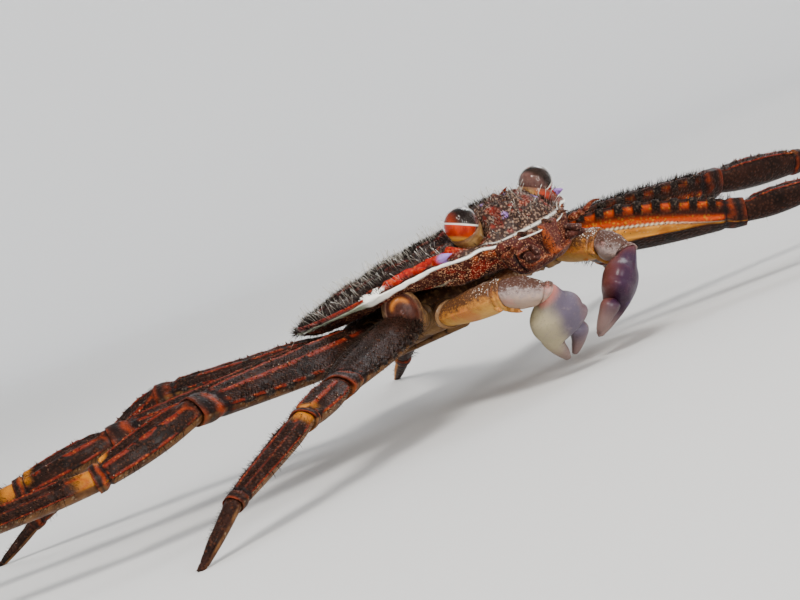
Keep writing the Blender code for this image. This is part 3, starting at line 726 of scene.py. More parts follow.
legPairs = {
    "leg1": {"hip": (10.2, -3.6, -3.6), "lengths": (19.5, 7.0, 12.0, 6.5),
             "right": {"headings": (28, 22, 14, 8), "pitches": (-3, -8, -16), "roll": -14},
             "left": {"headings": (36, 42, 46, 48), "pitches": (-20, -2, -14), "roll": 28}},
    "leg2": {"hip": (10.6, 0.9, -3.6), "lengths": (24.0, 10.0, 17.5, 8.0),
             "right": {"headings": (8, -24, -44, -50), "pitches": (6.5, -13, -2), "roll": -20},
             "left": {"headings": (14, 18, 22, 24), "pitches": (-9, -7, -14), "roll": 24}},
    "leg3": {"hip": (10.0, 5.4, -3.4), "lengths": (24.0, 9.5, 17.0, 8.0),
             "right": {"headings": (-22, -40, -50, -54), "pitches": (7, -8, -8), "roll": -16},
             "left": {"headings": (-32, -30, -34, -36), "pitches": (-4, -8, -16), "roll": 20}},
    "leg4": {"hip": (8.4, 9.6, -3.0), "lengths": (17.5, 7.0, 12.5, 6.5),
             "right": {"headings": (-50, -57, -62, -64), "pitches": (11.5, -22, -24), "roll": -12},
             "left": {"headings": (-64, -58, -62, -64), "pitches": (-3, -14, -26), "roll": 15}},
}
walkingLegs = {
    name + "_" + label: {"side": side, "hip": pair["hip"], "lengths": pair["lengths"], **pair[label]}
    for label, side in reversed(sides) for name, pair in legPairs.items()
}
longestLeg = 24.0
# shares of the length, half widths and half thicknesses, for the longest leg
limbShapes = {
    "merus": ((0.0, 0.12, 0.28, 0.45, 0.65, 0.86, 1.0), (1.75, 2.7, 3.5, 3.7, 3.3, 2.5, 1.9),
              (1.5, 1.6, 1.6, 1.5, 1.4, 1.3, 1.2)),
    "carpus": ((0.0, 0.3, 0.65, 1.0), (1.55, 2.1, 2.1, 1.5), (1.15, 1.35, 1.3, 1.05)),
    "propodus": ((0.0, 0.15, 0.5, 0.85, 1.0), (1.35, 1.65, 1.6, 1.25, 1.0), (1.0, 1.1, 1.05, 0.9, 0.8)),
    "dactyl": ((0.0, 0.3, 0.7, 1.0), (0.9, 0.85, 0.62, 0.36), (0.75, 0.72, 0.58, 0.36)),
    "arm": ((0.0, 0.25, 0.6, 0.85, 1.0), (1.2, 1.5, 1.78, 1.72, 1.35), (1.1, 1.38, 1.55, 1.5, 1.25)),
    "wrist": ((0.0, 0.3, 0.6, 1.0), (1.15, 1.45, 1.38, 0.88), (1.2, 1.65, 1.5, 0.93)),
}
limbNames = ("merus", "carpus", "propodus", "dactyl")
limb = {
    "columns": 56, "rowsPerMillimetre": 3.0, "lens": 1.62, "toeLens": 1.9, "condyleReach": 0.9,
    "collarFrom": 0.93, "collarRise": 0.16, "collarDepth": 0.55, "ridgeRise": 0.2, "furrowDepth": 0.1,
    "teeth": 8, "crestPitch": 0.5, "crestRise": 0.07, "rollShares": (1.0, 0.9, 0.75, 0.5),
}
# how strong the collar and the rings at a segment's end are, where they aren't full
collarShares = {"dactyl": 0, "arm": 0.4, "wrist": 0.4}
# the recess that takes the next segment's knuckle: shares of the end's size and depths
recessSteps = ((0.93, -0.02), (0.86, 0.12), (0.78, 0.4), (0.55, 0.62))
# long ridges of each segment: angle round it in degrees (0 front edge, 90 upper face), width, strength
limbRidges = {
    "merus": ((14, 7, 1.0), (62, 7, 0.9), (104, 7, 0.9), (148, 7, 0.8), (178, 6, 0.7), (-24, 5, 0.55)),
    "merusLeft": ((8, 7, 0.45), (-70, 6, 0.8), (-90, 4, 0.6), (50, 7, 0.6), (104, 7, 0.9), (148, 7, 0.8),
                  (178, 6, 0.7)),
    "carpus": ((10, 9, 0.9), (58, 9, 1.0), (112, 9, 1.0), (165, 8, 0.7)),
    "propodus": ((4, 8, 0.9), (48, 7, 0.55), (88, 8, 0.8), (130, 7, 0.55), (176, 8, 0.9)),
    "dactyl": ((30, 9, 0.3), (90, 9, 0.3), (150, 9, 0.3)),
    "arm": ((60, 14, 0.5), (120, 14, 0.5)),
    "wrist": ((60, 16, 0.5), (120, 16, 0.4)),
}


def heading(side, turn, pitch):
    a, b = math.radians(turn), math.radians(pitch)
    return Vector((side * math.cos(a) * math.cos(b), -math.sin(a) * math.cos(b), math.sin(b)))


def legJoints(leg):
    tilt = leanMatrix()
    ground = tilt.inverted()
    side = leg["side"]
    hip = Vector((side * leg["hip"][0], leg["hip"][1], leg["hip"][2]))
    joints = [hip, hip + heading(side, leg["headings"][0], leg["pitches"][0]) * leg["lengths"][0]]
    for i in (1, 2):
        way = heading(side, leg["headings"][i], leg["pitches"][i])
        joints.append(joints[-1] + ground @ way * leg["lengths"][i])
    ankle = (tilt @ joints[-1]).z + stance["bodyHeight"]
    fall = math.degrees(math.asin(ankle / leg["lengths"][3]))
    joints.append(joints[-1] + ground @ heading(side, leg["headings"][3], -fall) * leg["lengths"][3])
    root = Vector((hip.x * 0.5, 4 + (hip.y - 4) * 0.72, -4.1))
    ways = [(b - a).normalized() for a, b in zip([root] + joints, joints)]
    planes = [(a + b).normalized() for a, b in zip(ways, ways[1:])]
    return root, joints, planes


def legSegments(name, leg):
    # everything that a segment's skin, teeth and hairs are worked out from
    root, joints, planes = legJoints(leg)
    segments = []
    for i, kind in enumerate(limbNames):
        start, end = np.array(joints[i]), np.array(joints[i + 1])
        along = unit(end - start)
        level, up = sideAxes(along, (0, -1, 0))
        roll = limb["rollShares"][i] * math.radians(leg["roll"])
        segments.append({
            "name": name, "kind": kind, "side": leg["side"], "order": i, "golden": name == "leg1_left",
            "start": start, "end": end, "along": along, "length": float(np.linalg.norm(end - start)),
            "wide": level * math.cos(roll) + up * math.sin(roll),
            "thin": up * math.cos(roll) - level * math.sin(roll),
            "scale": 0.35 + 0.65 * leg["lengths"][0] / longestLeg,
            "startPlane": np.array(planes[i]), "endPlane": np.array(planes[i + 1]) if i < 3 else None,
        })
    return segments


def limbRelief(segment, s, angle):
    # how far the ridges stand out and how much of a point is ridge, both from share and angle
    rise, mask = np.zeros_like(s), np.zeros_like(s)
    window = between(s, 0.05, 0.16, 0.86, 0.94)
    label = segment["kind"] + ("Left" if segment["side"] > 0 else "Right")
    for centre, width, strength in limbRidges.get(label, limbRidges[segment["kind"]]):
        off = (angle - centre + 180) % 360 - 180
        rise = np.maximum(rise, hump(off, 0, width) * strength * window)
        mask = np.maximum(mask, hump(off, 0, width * 0.85) * strength * window)
    return rise, mask


def limbPoints(segment, s, angle):
    # a point of the segment's skin for each share along it and angle round it, and its share of ridge
    kind, along, k = segment["kind"], segment["along"], segment["scale"]
    shares, halfWidths, halfThicks = limbShapes[kind]
    around = np.radians(angle)
    x, y = squareRound(around, 2 / (limb["lens"] if kind != "dactyl" else limb["toeLens"]))
    x, y = curveThrough(s, shares, halfWidths) * k * x, curveThrough(s, shares, halfThicks) * k * y
    rise, mask = limbRelief(segment, s, angle)
    furrow = limb["furrowDepth"] * (1 - rise) * (np.sin(around) > 0.05) * between(s, 0.06, 0.2, 0.84, 0.94)
    radius = np.maximum(np.hypot(x, y), 0.4)
    grown = 1 + (limb["ridgeRise"] * rise - furrow) * k / radius
    collarAt = limb["collarFrom"]
    collar = smoothStep(s, collarAt - 0.02, collarAt + 0.015) * collarShares.get(kind, 1)
    grown = grown + limb["collarRise"] * k * (collar - 0.9 * hump(s, collarAt - 0.03, 0.012)) / radius
    centre = segment["start"] + along * (s * segment["length"])[..., None]
    points = centre + (x * grown)[..., None] * segment["wide"] + (y * grown)[..., None] * segment["thin"]
    # the ends lie in the planes that part the joints
    points = meetPlane(points, centre, along, segment["startPlane"], 1 - smoothStep(s, 0.0, 0.22))
    if segment["endPlane"] is not None:
        points = meetPlane(points, centre, along, segment["endPlane"], smoothStep(s, 0.82, 1.0))
    return points, mask


def underFace(angle):
    # the angle from -180 to 180, and how far across the under face a point lies, from its front edge
    signed = (angle + 180) % 360 - 180
    return signed, (1 - np.cos(np.radians(signed))) / 2 * (signed < 0)


def crestLevel(S):
    # where the beaded crest of the golden leg runs, as a share of the under face's width
    return 0.2 + 0.12 * S + 0.3 * np.clip(S - 0.6, 0, 1)


def beads(segment, S, A):
    signed, low = underFace(A)
    count = S * segment["length"] / limb["crestPitch"] + low * 7
    dashes = smoothStep(np.cos(2 * math.pi * count), -0.3, 0.3)
    return hump(low, crestLevel(S), 0.02) * dashes * between(S, 0.05, 0.1, 0.55, 0.72)


def roughLimb(segment, points, mask, S, A):
    # teeth, grit and beads on the plain skin; also which way is out, and where teeth and their gaps lie
    upper = smoothStep(np.sin(np.radians(A)), -0.15, 0.15)
    middle = segment["start"] + segment["along"] * (S * segment["length"])[..., None]
    outward = unit(points - middle)
    grit = latticeNoise(points, 0.55, 5 + segment["order"]) * 0.06
    comb = smoothStep(np.cos(2 * math.pi * (S - 0.26) * limb["teeth"] / 0.75), -0.2, 0.5)
    front = hump(underFace(A)[0], -14 if segment["side"] > 0 else 6, 15)
    toothed = front * between(S, 0.1, 0.16, 0.84, 0.89) * (segment["kind"] == "merus")
    reach = segment["scale"] * (0.75 if segment["golden"] else 0.35)
    points = points + outward * (toothed * comb * reach)[..., None]
    grit = (grit + latticeNoise(points, 0.25, 7) * 0.05 * mask) * upper * smoothStep(S, 0.04, 0.12)
    if segment["golden"] and segment["kind"] == "merus":
        grit = grit + limb["crestRise"] * beads(segment, S, A)
    return points + outward * grit[..., None], outward, toothed * comb, toothed * (1 - comb)


def limbEnds(segment, points, reach):
    # rings of the rounded knuckle in the segment before, and of the recess for the next one's knuckle
    start, end, along = segment["start"], segment["end"], segment["along"]
    knuckle = []
    for turn in np.radians(np.linspace(75, 8, 6)):
        middle = start - along * (math.sin(turn) * reach)
        knuckle.append(middle + (points[0] - start) * (0.9 * math.cos(turn)))
    recess = []
    if segment["endPlane"] is not None:
        for share, depth in recessSteps:
            inward = along * (depth * limb["collarDepth"] * segment["scale"])
            recess.append(end + (points[-1] - end) * share - inward)
    return knuckle, recess


def limbRings(segment, grid, S, signed):
    # the rings, loops and grooves of the joints, and the golden patches beside them
    kind, left = segment["kind"], segment["side"] > 0
    jointed = collarShares.get(kind, 1)
    patchy = smoothStep(latticeNoise(grid, 0.8, 19), -0.5, 0.25)
    rim = (hump(S, limb["collarFrom"] - 0.005, 0.011) + hump(S, 1.0, 0.014)) * jointed
    loopTurns = (-50, 20, 76, 126) if left else (6, 62, 118)
    loops = sum(hump(np.hypot((signed - turn) / 26, (S - 0.885) / 0.055), 1, 0.17) for turn in loopTurns)
    loops = loops * (S > 0.875) * (S < 0.955) * jointed
    startLoops = sum(hump(np.hypot((signed - turn) / 26, (S - 0.1) / 0.07), 1, 0.2)
                     for turn in (35, 90, 145)) * (S < 0.13) * (S > 0.01) * (kind in ("carpus", "propodus"))
    ring = np.clip((rim + loops + startLoops) * (0.15 + 0.75 * patchy) * (0.6 if left else 0.72), 0, 1)
    groove = np.clip(hump(S, limb["collarFrom"] - 0.035, 0.014) + 0.8 * hump(S, 0.965, 0.01), 0, 1) * jointed
    gold = between(S, 0.76, 0.86, 0.92, 0.95) * smoothStep(latticeNoise(grid, 1.5, 17), -0.1, 0.3)
    gold = gold * (kind == "carpus") * (0.25 if left else 1.0)
    knee = (1 - smoothStep(S, 0.03, 0.12)) * (kind == "propodus") * hump(signed, 60, 70)
    knee = knee * (0.3 if left else 0.8)
    return ring, groove, np.maximum(gold, knee), patchy


def limbBelly(segment, grid, S, A, upper, low, gaps, patchy):
    # the bare under face, and on a left merus the orange band and the pale crest along it
    golden, nothing = segment["golden"], np.zeros_like(S)
    if segment["side"] < 0:
        return 1 - upper, nothing, nothing
    belly = smoothStep(low, 0.8, 0.92) * 0.7
    if segment["kind"] != "merus":
        return belly, nothing, nothing
    crestAt, bandAt = crestLevel(S), 0.105 + 0.2 * S
    extent = between(S, 0.05, 0.12, 0.88, 0.93)
    flecks = 0.5 + 0.5 * smoothStep(latticeNoise(grid, 0.5, 29), -0.6, 0.1)
    if golden:
        # past this level the gold stops and the lower under face keeps the dark coat colour: painted shade
        # where the face turns down and away
        shadedBeyond = crestAt + 0.6 * np.clip(1 - S / 0.8, 0, 1)
        belly = between(low, crestAt + 0.015, crestAt + 0.04, shadedBeyond, shadedBeyond + 0.1)
        crest = np.maximum(beads(segment, S, A), hump(low, crestAt, 0.012) * 0.45) * extent
    else:
        crest = hump(low, crestAt, 0.03) * extent * 0.2
    band = hump(low, bandAt, 0.055) * extent * (1.0 if golden else 0.8 * patchy)
    edge = (1.1 if golden else 0.3) * gaps * smoothStep(low, 0.002, 0.03) * flecks
    return belly, np.maximum(band, edge), crest


def limbCoat(segment, coat, S, A, upper, low, lobe, gaps):
    # the pile of each face and the standing fringes: shares and lengths
    kind, left = segment["kind"], segment["side"] > 0
    signed = underFace(A)[0]
    edgeFront, edgeRear = hump(signed, 2, 9), hump(A, 182, 9)
    if kind == "merus":
        extent = between(S, 0.06, 0.14, 0.9, 0.94)
        fringe, brush = np.clip(lobe * 1.2, 0, 1), hump(signed, 20, 12)
        coat = np.maximum(np.maximum(coat, 0.95 * fringe), 0.6 * edgeRear * extent)
        underPile = (0.06 if segment["golden"] else 0.35) * extent * left * (low > 0) * (low < 0.34)
        coat = np.maximum(coat, underPile) * (1 - 0.9 * np.clip(2 * gaps, 0, 1) * left)
        if segment["name"] == "leg1_right":
            coat = np.clip(coat * 1.6 + 0.3 * upper, 0, 1)
        coat = np.maximum(coat, 0.5 * brush * extent)
        return coat, 0.42 + 0.42 * fringe * left + 0.2 * fringe + 0.35 * brush
    fringe = np.maximum(edgeFront, edgeRear)
    if kind == "dactyl":
        return np.maximum(coat * 0.7, 0.5 * fringe) * (1 - smoothStep(S, 0.72, 0.86)), 0.38 + 0.1 * S
    coat = np.maximum(coat, fringe * smoothStep(S, 0.05, 0.12) * (1 - smoothStep(S, 0.9, 0.95)))
    return coat, 0.42 + 0.5 * fringe + (0.12 if kind == "propodus" else 0)


def limbBlock(segment):
    k, kind, left = segment["scale"], segment["kind"], segment["side"] > 0
    finer = segment["golden"] and kind == "merus"   # closer rows and columns carry the beaded crest
    rows = max(18, int(segment["length"] * limb["rowsPerMillimetre"] * (2.6 if finer else 1)))
    s = np.concatenate([np.linspace(0, 0.12, 8, endpoint=False),
                        np.linspace(0.12, 0.86, rows, endpoint=False), np.linspace(0.86, 1.0, 16)])
    angles = np.linspace(0, 360, limb["columns"] * (3 if finer else 1), endpoint=False)
    S, A = np.meshgrid(s, angles, indexing="ij")
    points, mask = limbPoints(segment, S, A)
    points, outward, lobe, gaps = roughLimb(segment, points, mask, S, A)
    reach = limb["condyleReach"] * k * (0.35 if kind == "merus" else 1.0)
    knuckle, recess = limbEnds(segment, points, reach)
    grid = np.concatenate([np.array(knuckle), points] + ([np.array(recess)] if recess else []))
    pad = ((len(knuckle), len(recess)), (0, 0))
    mask, lobe, gaps, topSide = (np.pad(value, pad) for value in (mask, lobe, gaps, outward[..., 2]))
    if segment["name"] == "leg1_right" and kind == "merus":
        mask = mask * 0.2
    # the values that the colours read
    share = np.concatenate([np.full(len(knuckle), -0.01), s, np.full(len(recess), 1.01)])
    S, A = np.meshgrid(share, angles, indexing="ij")
    signed, low = underFace(A)
    upper = smoothStep(np.sin(np.radians(A)), -0.12, 0.12)
    collar = smoothStep(S, limb["collarFrom"] - 0.01, limb["collarFrom"] + 0.01) * collarShares.get(kind, 1)
    ring, groove, gold, patchy = limbRings(segment, grid, S, signed)
    belly, band, crest = limbBelly(segment, grid, S, A, upper, low, gaps, patchy)
    clumps = smoothStep(latticeNoise(grid, 0.9, 27), -0.7, 0.2)
    coat = upper * (1 - 0.92 * np.clip(mask * 1.25, 0, 1)) * clumps * (1 - collar) * (1 - groove)
    coat = coat * smoothStep(S, 0.03, 0.08)
    coat, lengths = limbCoat(segment, coat, S, A, upper, low, lobe, gaps)
    thorns = np.clip(mask * (1 - lobe) * 0.5 + 0.15 * upper * (1 - collar) * (S > 0.03) + 0.5 * crest, 0, 1)
    whole = np.clip(S, 0, 1)
    root = np.stack([(segment["order"] + 0.02 + 0.94 * whole) / 4, 0.04 + 0.9 * A / 360, 0 * S], axis=-1)
    values = {
        "ridge": mask * (smoothStep(0.36 - low, -0.02, 0.02) if left else upper), "under": belly,
        "ring": ring, "groove": groove, "gold": np.clip(gold, 0, 1) * upper, "band": band, "crest": crest,
        "share": whole, "topSide": topSide, "lobe": lobe, "thornShare": thorns * (1 - collar),
        "thornLength": 0.13 + 0.1 * mask, "coatShare": np.clip(coat, 0, 1), "coatLength": lengths * k,
        "lie": np.broadcast_to(segment["along"], grid.shape) * 0.42, "rootPlace": root,
    }
    poleEnd = grid[-1].mean(axis=0)
    if recess:
        poleEnd = segment["end"] - segment["along"] * (recessSteps[-1][1] * limb["collarDepth"] * k)
    return gridBlock(grid, segment["start"] - segment["along"] * reach * 1.02, poleEnd, **values)


legColours = {
    "dark": (0.006, 0.003, 0.002), "brown": (0.023, 0.008, 0.005), "grain": (0.08, 0.026, 0.012),
    "ridge": (0.12, 0.011, 0.004), "ridgeLight": (0.3, 0.06, 0.014), "gold": (0.5, 0.17, 0.009),
    "ring": (0.2, 0.026, 0.006), "groove": (0.006, 0.004, 0.004), "pale": (0.82, 0.7, 0.45),
    "band": (0.46, 0.05, 0.005), "lobe": (0.018, 0.013, 0.011), "lobeGrain": (0.075, 0.055, 0.042),
    "golden": ((0.64, 0.26, 0.03), (0.43, 0.14, 0.016)),
    "olive": ((0.15, 0.066, 0.022), (0.05, 0.018, 0.008)),
}


def legSkin(name, belly, bellyDark):
    c = legColours
    paint = skinPaint(name, 0.46, coat=0.02, coatRoughness=0.2, specular=0.07)
    blotch, grain = paint.blotches(0.5, 2.4), paint.grain(3.2)
    paint.colour = paint.mix(blotch["Blotch"], c["dark"], c["brown"])
    paint.cover(paint.times(grain["Heads"], paint.times(blotch["Fine"], 0.6)), c["grain"])
    broken = paint.times("ridge", paint.stretch(blotch["Blotch"], 0.12, 0.42))
    ridge = paint.mix(paint.heads(grain, 0.3, 0.9), c["ridge"], c["ridgeLight"])
    paint.cover(paint.stretch(broken, 0.25, 0.7), ridge)
    under = paint.mix(paint.stretch(blotch["Blotch"], 0.2, 0.85), belly, bellyDark)
    paint.cover("under", paint.mix(paint.times(paint.heads(grain, 0.72, 0.85), 0.12), under, c["pale"]))
    paint.cover("gold", c["gold"])
    paint.cover("band", paint.mix(paint.heads(grain, 0.2, 0.7), c["band"], c["gold"]))
    paint.cover(paint.stretch("lobe", 0.25, 0.6), paint.mix(grain["Heads"], c["lobe"], c["lobeGrain"]))
    for mask, tone in (("crest", "pale"), ("ring", "ring"), ("groove", "groove")):
        paint.cover(mask, c[tone])
    paint.uneven(blotch["Fine"], 0.2, 0.38)
    return paint.finish(paint.times(grain["Height"], paint.number("MULTIPLY_ADD", "under", -0.75, 1.0)), 0.06)


legSkins = {1: legSkin("legSkinGolden", *legColours["golden"]),
            -1: legSkin("legSkinOlive", *legColours["olive"])}
legPieces = {}
for legName, leg in walkingLegs.items():
    for segment in legSegments(legName, leg):
        node = legName + "_" + segment["kind"]
        legPieces[node] = assemble(node + "Shell", [limbBlock(segment)], legSkins[segment["side"]])
print("legs:", len(legPieces), "segments")


# Round-bodied parts: tubes along a bent line

def tubeBlock(places, widths, heights, toward, columns, roundness=2.0, **values):
    # rings along a line of places; widths lie toward one side, heights square to it
    places = np.asarray(places, float)
    ways = unit(np.gradient(places, axis=0))
    x, y = squareRound(turns(columns), 2 / roundness)
    rings = []
    for centre, way, width, height in zip(places, ways, widths, heights):
        across, up = sideAxes(way, toward)
        rings.append(centre + np.outer(x * width, across) + np.outer(y * height, up))
    lead = places[0] - ways[0] * 0.15 * widths[0]
    tail = places[-1] + ways[-1] * 0.5 * widths[-1]
    return gridBlock(np.array(rings), lead, tail, **{name: value[:, None] for name, value in values.items()})


def bentLine(start, end, bend, count):
    # a shallow arc from start to end that leans toward bend at its middle
    f = np.linspace(0, 1, count)[:, None]
    arc = np.asarray(bend, float) * (4 * f * (1 - f))
    return np.asarray(start, float) * (1 - f) + np.asarray(end, float) * f + arc


# Eyes: a banded ball under a clear dome, on a short golden stalk

eyeColours = {
    "upper": (0.014, 0.008, 0.006), "outer": (0.23, 0.024, 0.006), "line": (0.9, 0.86, 0.76),
    "lower": (0.5, 0.036, 0.003), "lowerDark": (0.27, 0.009, 0.002), "foot": (0.7, 0.33, 0.05),
    "inner": (0.05, 0.022, 0.018), "innerLight": (0.15, 0.07, 0.06), "glass": (0.97, 0.96, 0.94, 1),
    "stalk": (0.2, 0.09, 0.025), "stalkPale": (0.48, 0.28, 0.1), "stalkRed": (0.44, 0.03, 0.006),
    "lip": (0.1, 0.035, 0.015),
}
# the stalk from its foot to its lip: distance along the eye's axis and radius
stalkStations = (-3.0, -2.2, -1.5, -1.0, -0.7, -0.52)
stalkRadii = (0.95, 1.18, 1.38, 1.52, 1.56, 1.5)


def eyeFrame(side):
    centre, axis = mirrored(eye["centre"], side), unit(mirrored(eye["axis"], side))
    return (centre, axis, *sideAxes(axis, (0, -1, 0)))


def eyeBallBlock(side):
    centre, axis, wide, thin = eyeFrame(side)
    tilt, turn = np.meshgrid(np.radians(np.linspace(88, -62, 60)), turns(72), indexing="ij")
    level = np.cos(turn)[..., None] * wide + np.sin(turn)[..., None] * thin
    way = np.sin(tilt)[..., None] * axis + np.cos(tilt)[..., None] * level
    away = way * eye["ballRadius"]
    outer = away @ unit(mirrored(eye["outerWay"], side))
    band = away @ unit(mirrored(eye["bandNormal"], side)) - eye["bandLevel"][side] - 0.06 * outer
    inner = way @ unit(mirrored(eye["innerWay"], side)) - 0.55 * (way @ axis)
    top, foot = centre + axis * eye["ballRadius"], centre - axis * eye["ballRadius"] * 0.9
    return gridBlock(centre + away, top, foot, bandHeight=band, outerSide=outer,
                     innerSide=smoothStep(inner, 0.1, 0.45))


def eyeDomeBlock(side):
    # one thin clear wall, outer face down and inner face up again
    centre, axis, wide, thin = eyeFrame(side)
    inside = eye["ballRadius"] + eye["glassGap"]
    steps = [(tilt, eye["radius"]) for tilt in np.linspace(87, -14, 34)]
    steps += [(tilt, inside) for tilt in np.linspace(-14, 86, 30)]
    rings = []
    for tilt, radius in steps:
        rise, reach = radius * math.sin(math.radians(tilt)), radius * math.cos(math.radians(tilt))
        rings.append(oval(centre + axis * rise, wide, thin, turns(64), reach, reach))
    return gridBlock(np.array(rings), centre + axis * eye["radius"], centre + axis * inside)


def eyeStalkBlock(side):
    centre, axis, wide, thin = eyeFrame(side)
    stations = np.linspace(stalkStations[0], stalkStations[-1], 26)
    radii = curveThrough(stations, stalkStations, stalkRadii)
    rings = np.array([oval(centre + axis * d, wide, thin, turns(56), r, r) for d, r in zip(stations, radii)])
    rings = rings + unit(rings - centre) * (latticeNoise(rings, 0.4, 33)[..., None] * 0.05)
    red = smoothStep((rings - centre) @ np.array(eye["redWay"]), 0.2, 1.1) * (side > 0)
    lip = smoothStep(stations, -0.95, -0.62)[:, None]
    return gridBlock(rings, centre - axis * 3.1, centre - axis * 0.7, lip=lip, red=red)


def eyeBallSkin():
    c = eyeColours
    paint = skinPaint("eyeBanded", 0.16, coat=0.08, coatRoughness=0.04, specular=0.06)
    blotch, band = paint.blotches(1.1, 2.2), paint.read("bandHeight")
    upper = paint.mix(paint.stretch("outerSide", -0.1, 0.9), c["upper"], c["outer"])
    lower = paint.mix(paint.stretch(blotch["Blotch"], 0.25, 0.8), c["lower"], c["lowerDark"])
    lower = paint.mix(paint.stretch(paint.times(band, -1.0), 1.0, 1.3), lower, c["foot"])
    paint.colour = paint.mix(paint.stretch(band, -0.02, 0.03), lower, upper)
    paint.cover("innerSide", paint.mix(blotch["Fine"], c["inner"], c["innerLight"]))
    apart = paint.stretch(paint.number("ABSOLUTE", band), 0.055, 0.095)
    paint.cover(paint.number("SUBTRACT", 1.0, apart), c["line"])
    return paint.finish()


def eyeDomeSkin():
    paint = skinPaint("eyeClearDome", 0.02)
    for label, value in (("Base Color", eyeColours["glass"]), ("Transmission Weight", 1.0), ("IOR", 1.13)):
        paint.sockets[label].default_value = value
    return paint.material


def eyeStalkSkin():
    c = eyeColours
    paint = skinPaint("eyeStalkSkin", 0.35, coat=0.3)
    blotch, grain = paint.blotches(1.0, 2.6), paint.grain(5.0)
    paint.colour = paint.mix(blotch["Blotch"], c["stalk"], c["stalkPale"])
    paint.cover("red", c["stalkRed"])
    paint.cover(paint.times("lip", 0.8), c["lip"])
    return paint.finish(grain["Height"], 0.04)


eyeParts = (("eyeBall_", eyeBallBlock, eyeBallSkin(), "cornea", None),
            ("eyeDome_", eyeDomeBlock, eyeDomeSkin(), "cornea", "cornea_"),
            ("eyeStalk_", eyeStalkBlock, eyeStalkSkin(), "eyestalk", "eyestalk_"))
eyePieces = []
for label, side in sides:
    for name, block, skin, slotName, node in eyeParts:
        eyePieces.append((assemble(name + label, [block(side)], skin), slotName, node and node + label))
print("eyes made")


# Pincer legs

# hip, elbow, wrist, knuckle and finger tip of each
pincers = {
    "cheliped_right": ((-7.6, -7.0, -4.7), (-6.6, -13.4, -4.95), (-4.05, -15.65, -6.65), (-2.2, -13.3, -10.4),
                       (-0.6, -10.85, -13.2)),
    "cheliped_left": ((7.6, -7.0, -4.7), (8.3, -12.0, -5.75), (8.75, -13.95, -7.55), (5.4, -13.4, -10.8),
                      (3.2, -11.6, -12.9)),
}
palmBreadths = {"cheliped_right": (sightBack, -sightSide, 0.3),
                "cheliped_left": (-sightSide, -sightBack, 0.3)}
# rows of stations: shares of the palm, then of the finger, with the offset, half height and half width there
hand = {
    "columns": 64, "rows": 90, "fingerRows": 44, "flatness": 0.95,
    "tipOffset": {"fixed": -0.32, "moving": 0.62},
    "palmShares": (0.0, 0.27, 0.47, 0.72, 1.0), "palmHigh": (0.8, 1.6, 2.42, 2.62, 2.3),
    "palmFlat": (0.8, 1.28, 1.62, 1.64, 1.32),
    "fixedShares": (0.16, 0.4, 0.75, 1.0), "fixedOffset": (-1.1, -1.0, -0.6, -0.32),
    "fixedRadius": (1.08, 0.86, 0.62, 0.36),
    "movingShares": (0.17, 0.24, 0.38, 0.62, 0.85, 1.0), "movingOffset": (1.15, 1.3, 1.5, 1.35, 0.95, 0.62),
    "movingRadius": (0.5, 0.8, 0.92, 0.75, 0.55, 0.36),
}
# teeth round the end of each arm: way back from the elbow, sideways and upward shares, length, radius
armTeeth = ((0.7, -0.15, -1.0, 2.0, 0.55), (0.9, 0.75, -0.75, 1.3, 0.42), (1.2, -0.8, 0.5, 0.9, 0.38),
            (1.9, -0.75, -0.7, 1.1, 0.42), (0.8, -0.95, -0.25, 1.5, 0.45))


def pincerRoot(hip):
    return np.array((math.copysign(4.2, hip[0]), -2.6, -4.4))


def armBlock(joints, kind):
    # the arm from hip to elbow, or the wrist from elbow to wrist
    index = ("arm", "wrist").index(kind) + 1
    line = [pincerRoot(joints[0])] + [np.array(p, float) for p in joints[:4]]
    ways = [unit(b - a) for a, b in zip(line, line[1:])]
    start, end = line[index], line[index + 1]
    wide, thin = sideAxes(ways[index], (1, 0, 0) if kind == "arm" else (0, 0, 1))
    return limbBlock({
        "name": kind, "kind": kind, "side": -1, "order": 0, "golden": False, "scale": 1.0,
        "start": start, "end": end, "along": ways[index], "length": float(np.linalg.norm(end - start)),
        "wide": wide, "thin": thin,
        "startPlane": unit(ways[index - 1] + ways[index]), "endPlane": unit(ways[index] + ways[index + 1]),
    })


def armTooth(elbow, way, back, sideways, upward, length, radius):
    across, up = sideAxes(way, (1, 0, 0))
    across = across * math.copysign(1, elbow[0])
    out = unit(across * sideways + up * upward)
    root = elbow - way * back + out * 0.95
    tip = root + (way * 0.75 + out * 0.65) * length
    f = np.linspace(0, 1, 14)
    radii = radius * np.maximum(1 - f, 0.03) ** 0.7
    return tubeBlock(bentLine(root, tip, out * 0.12, 14), radii, radii * 0.85, (0, 0, 1), 18,
                     share=f, topSide=np.full_like(f, -0.4), ring=f * 0.8)


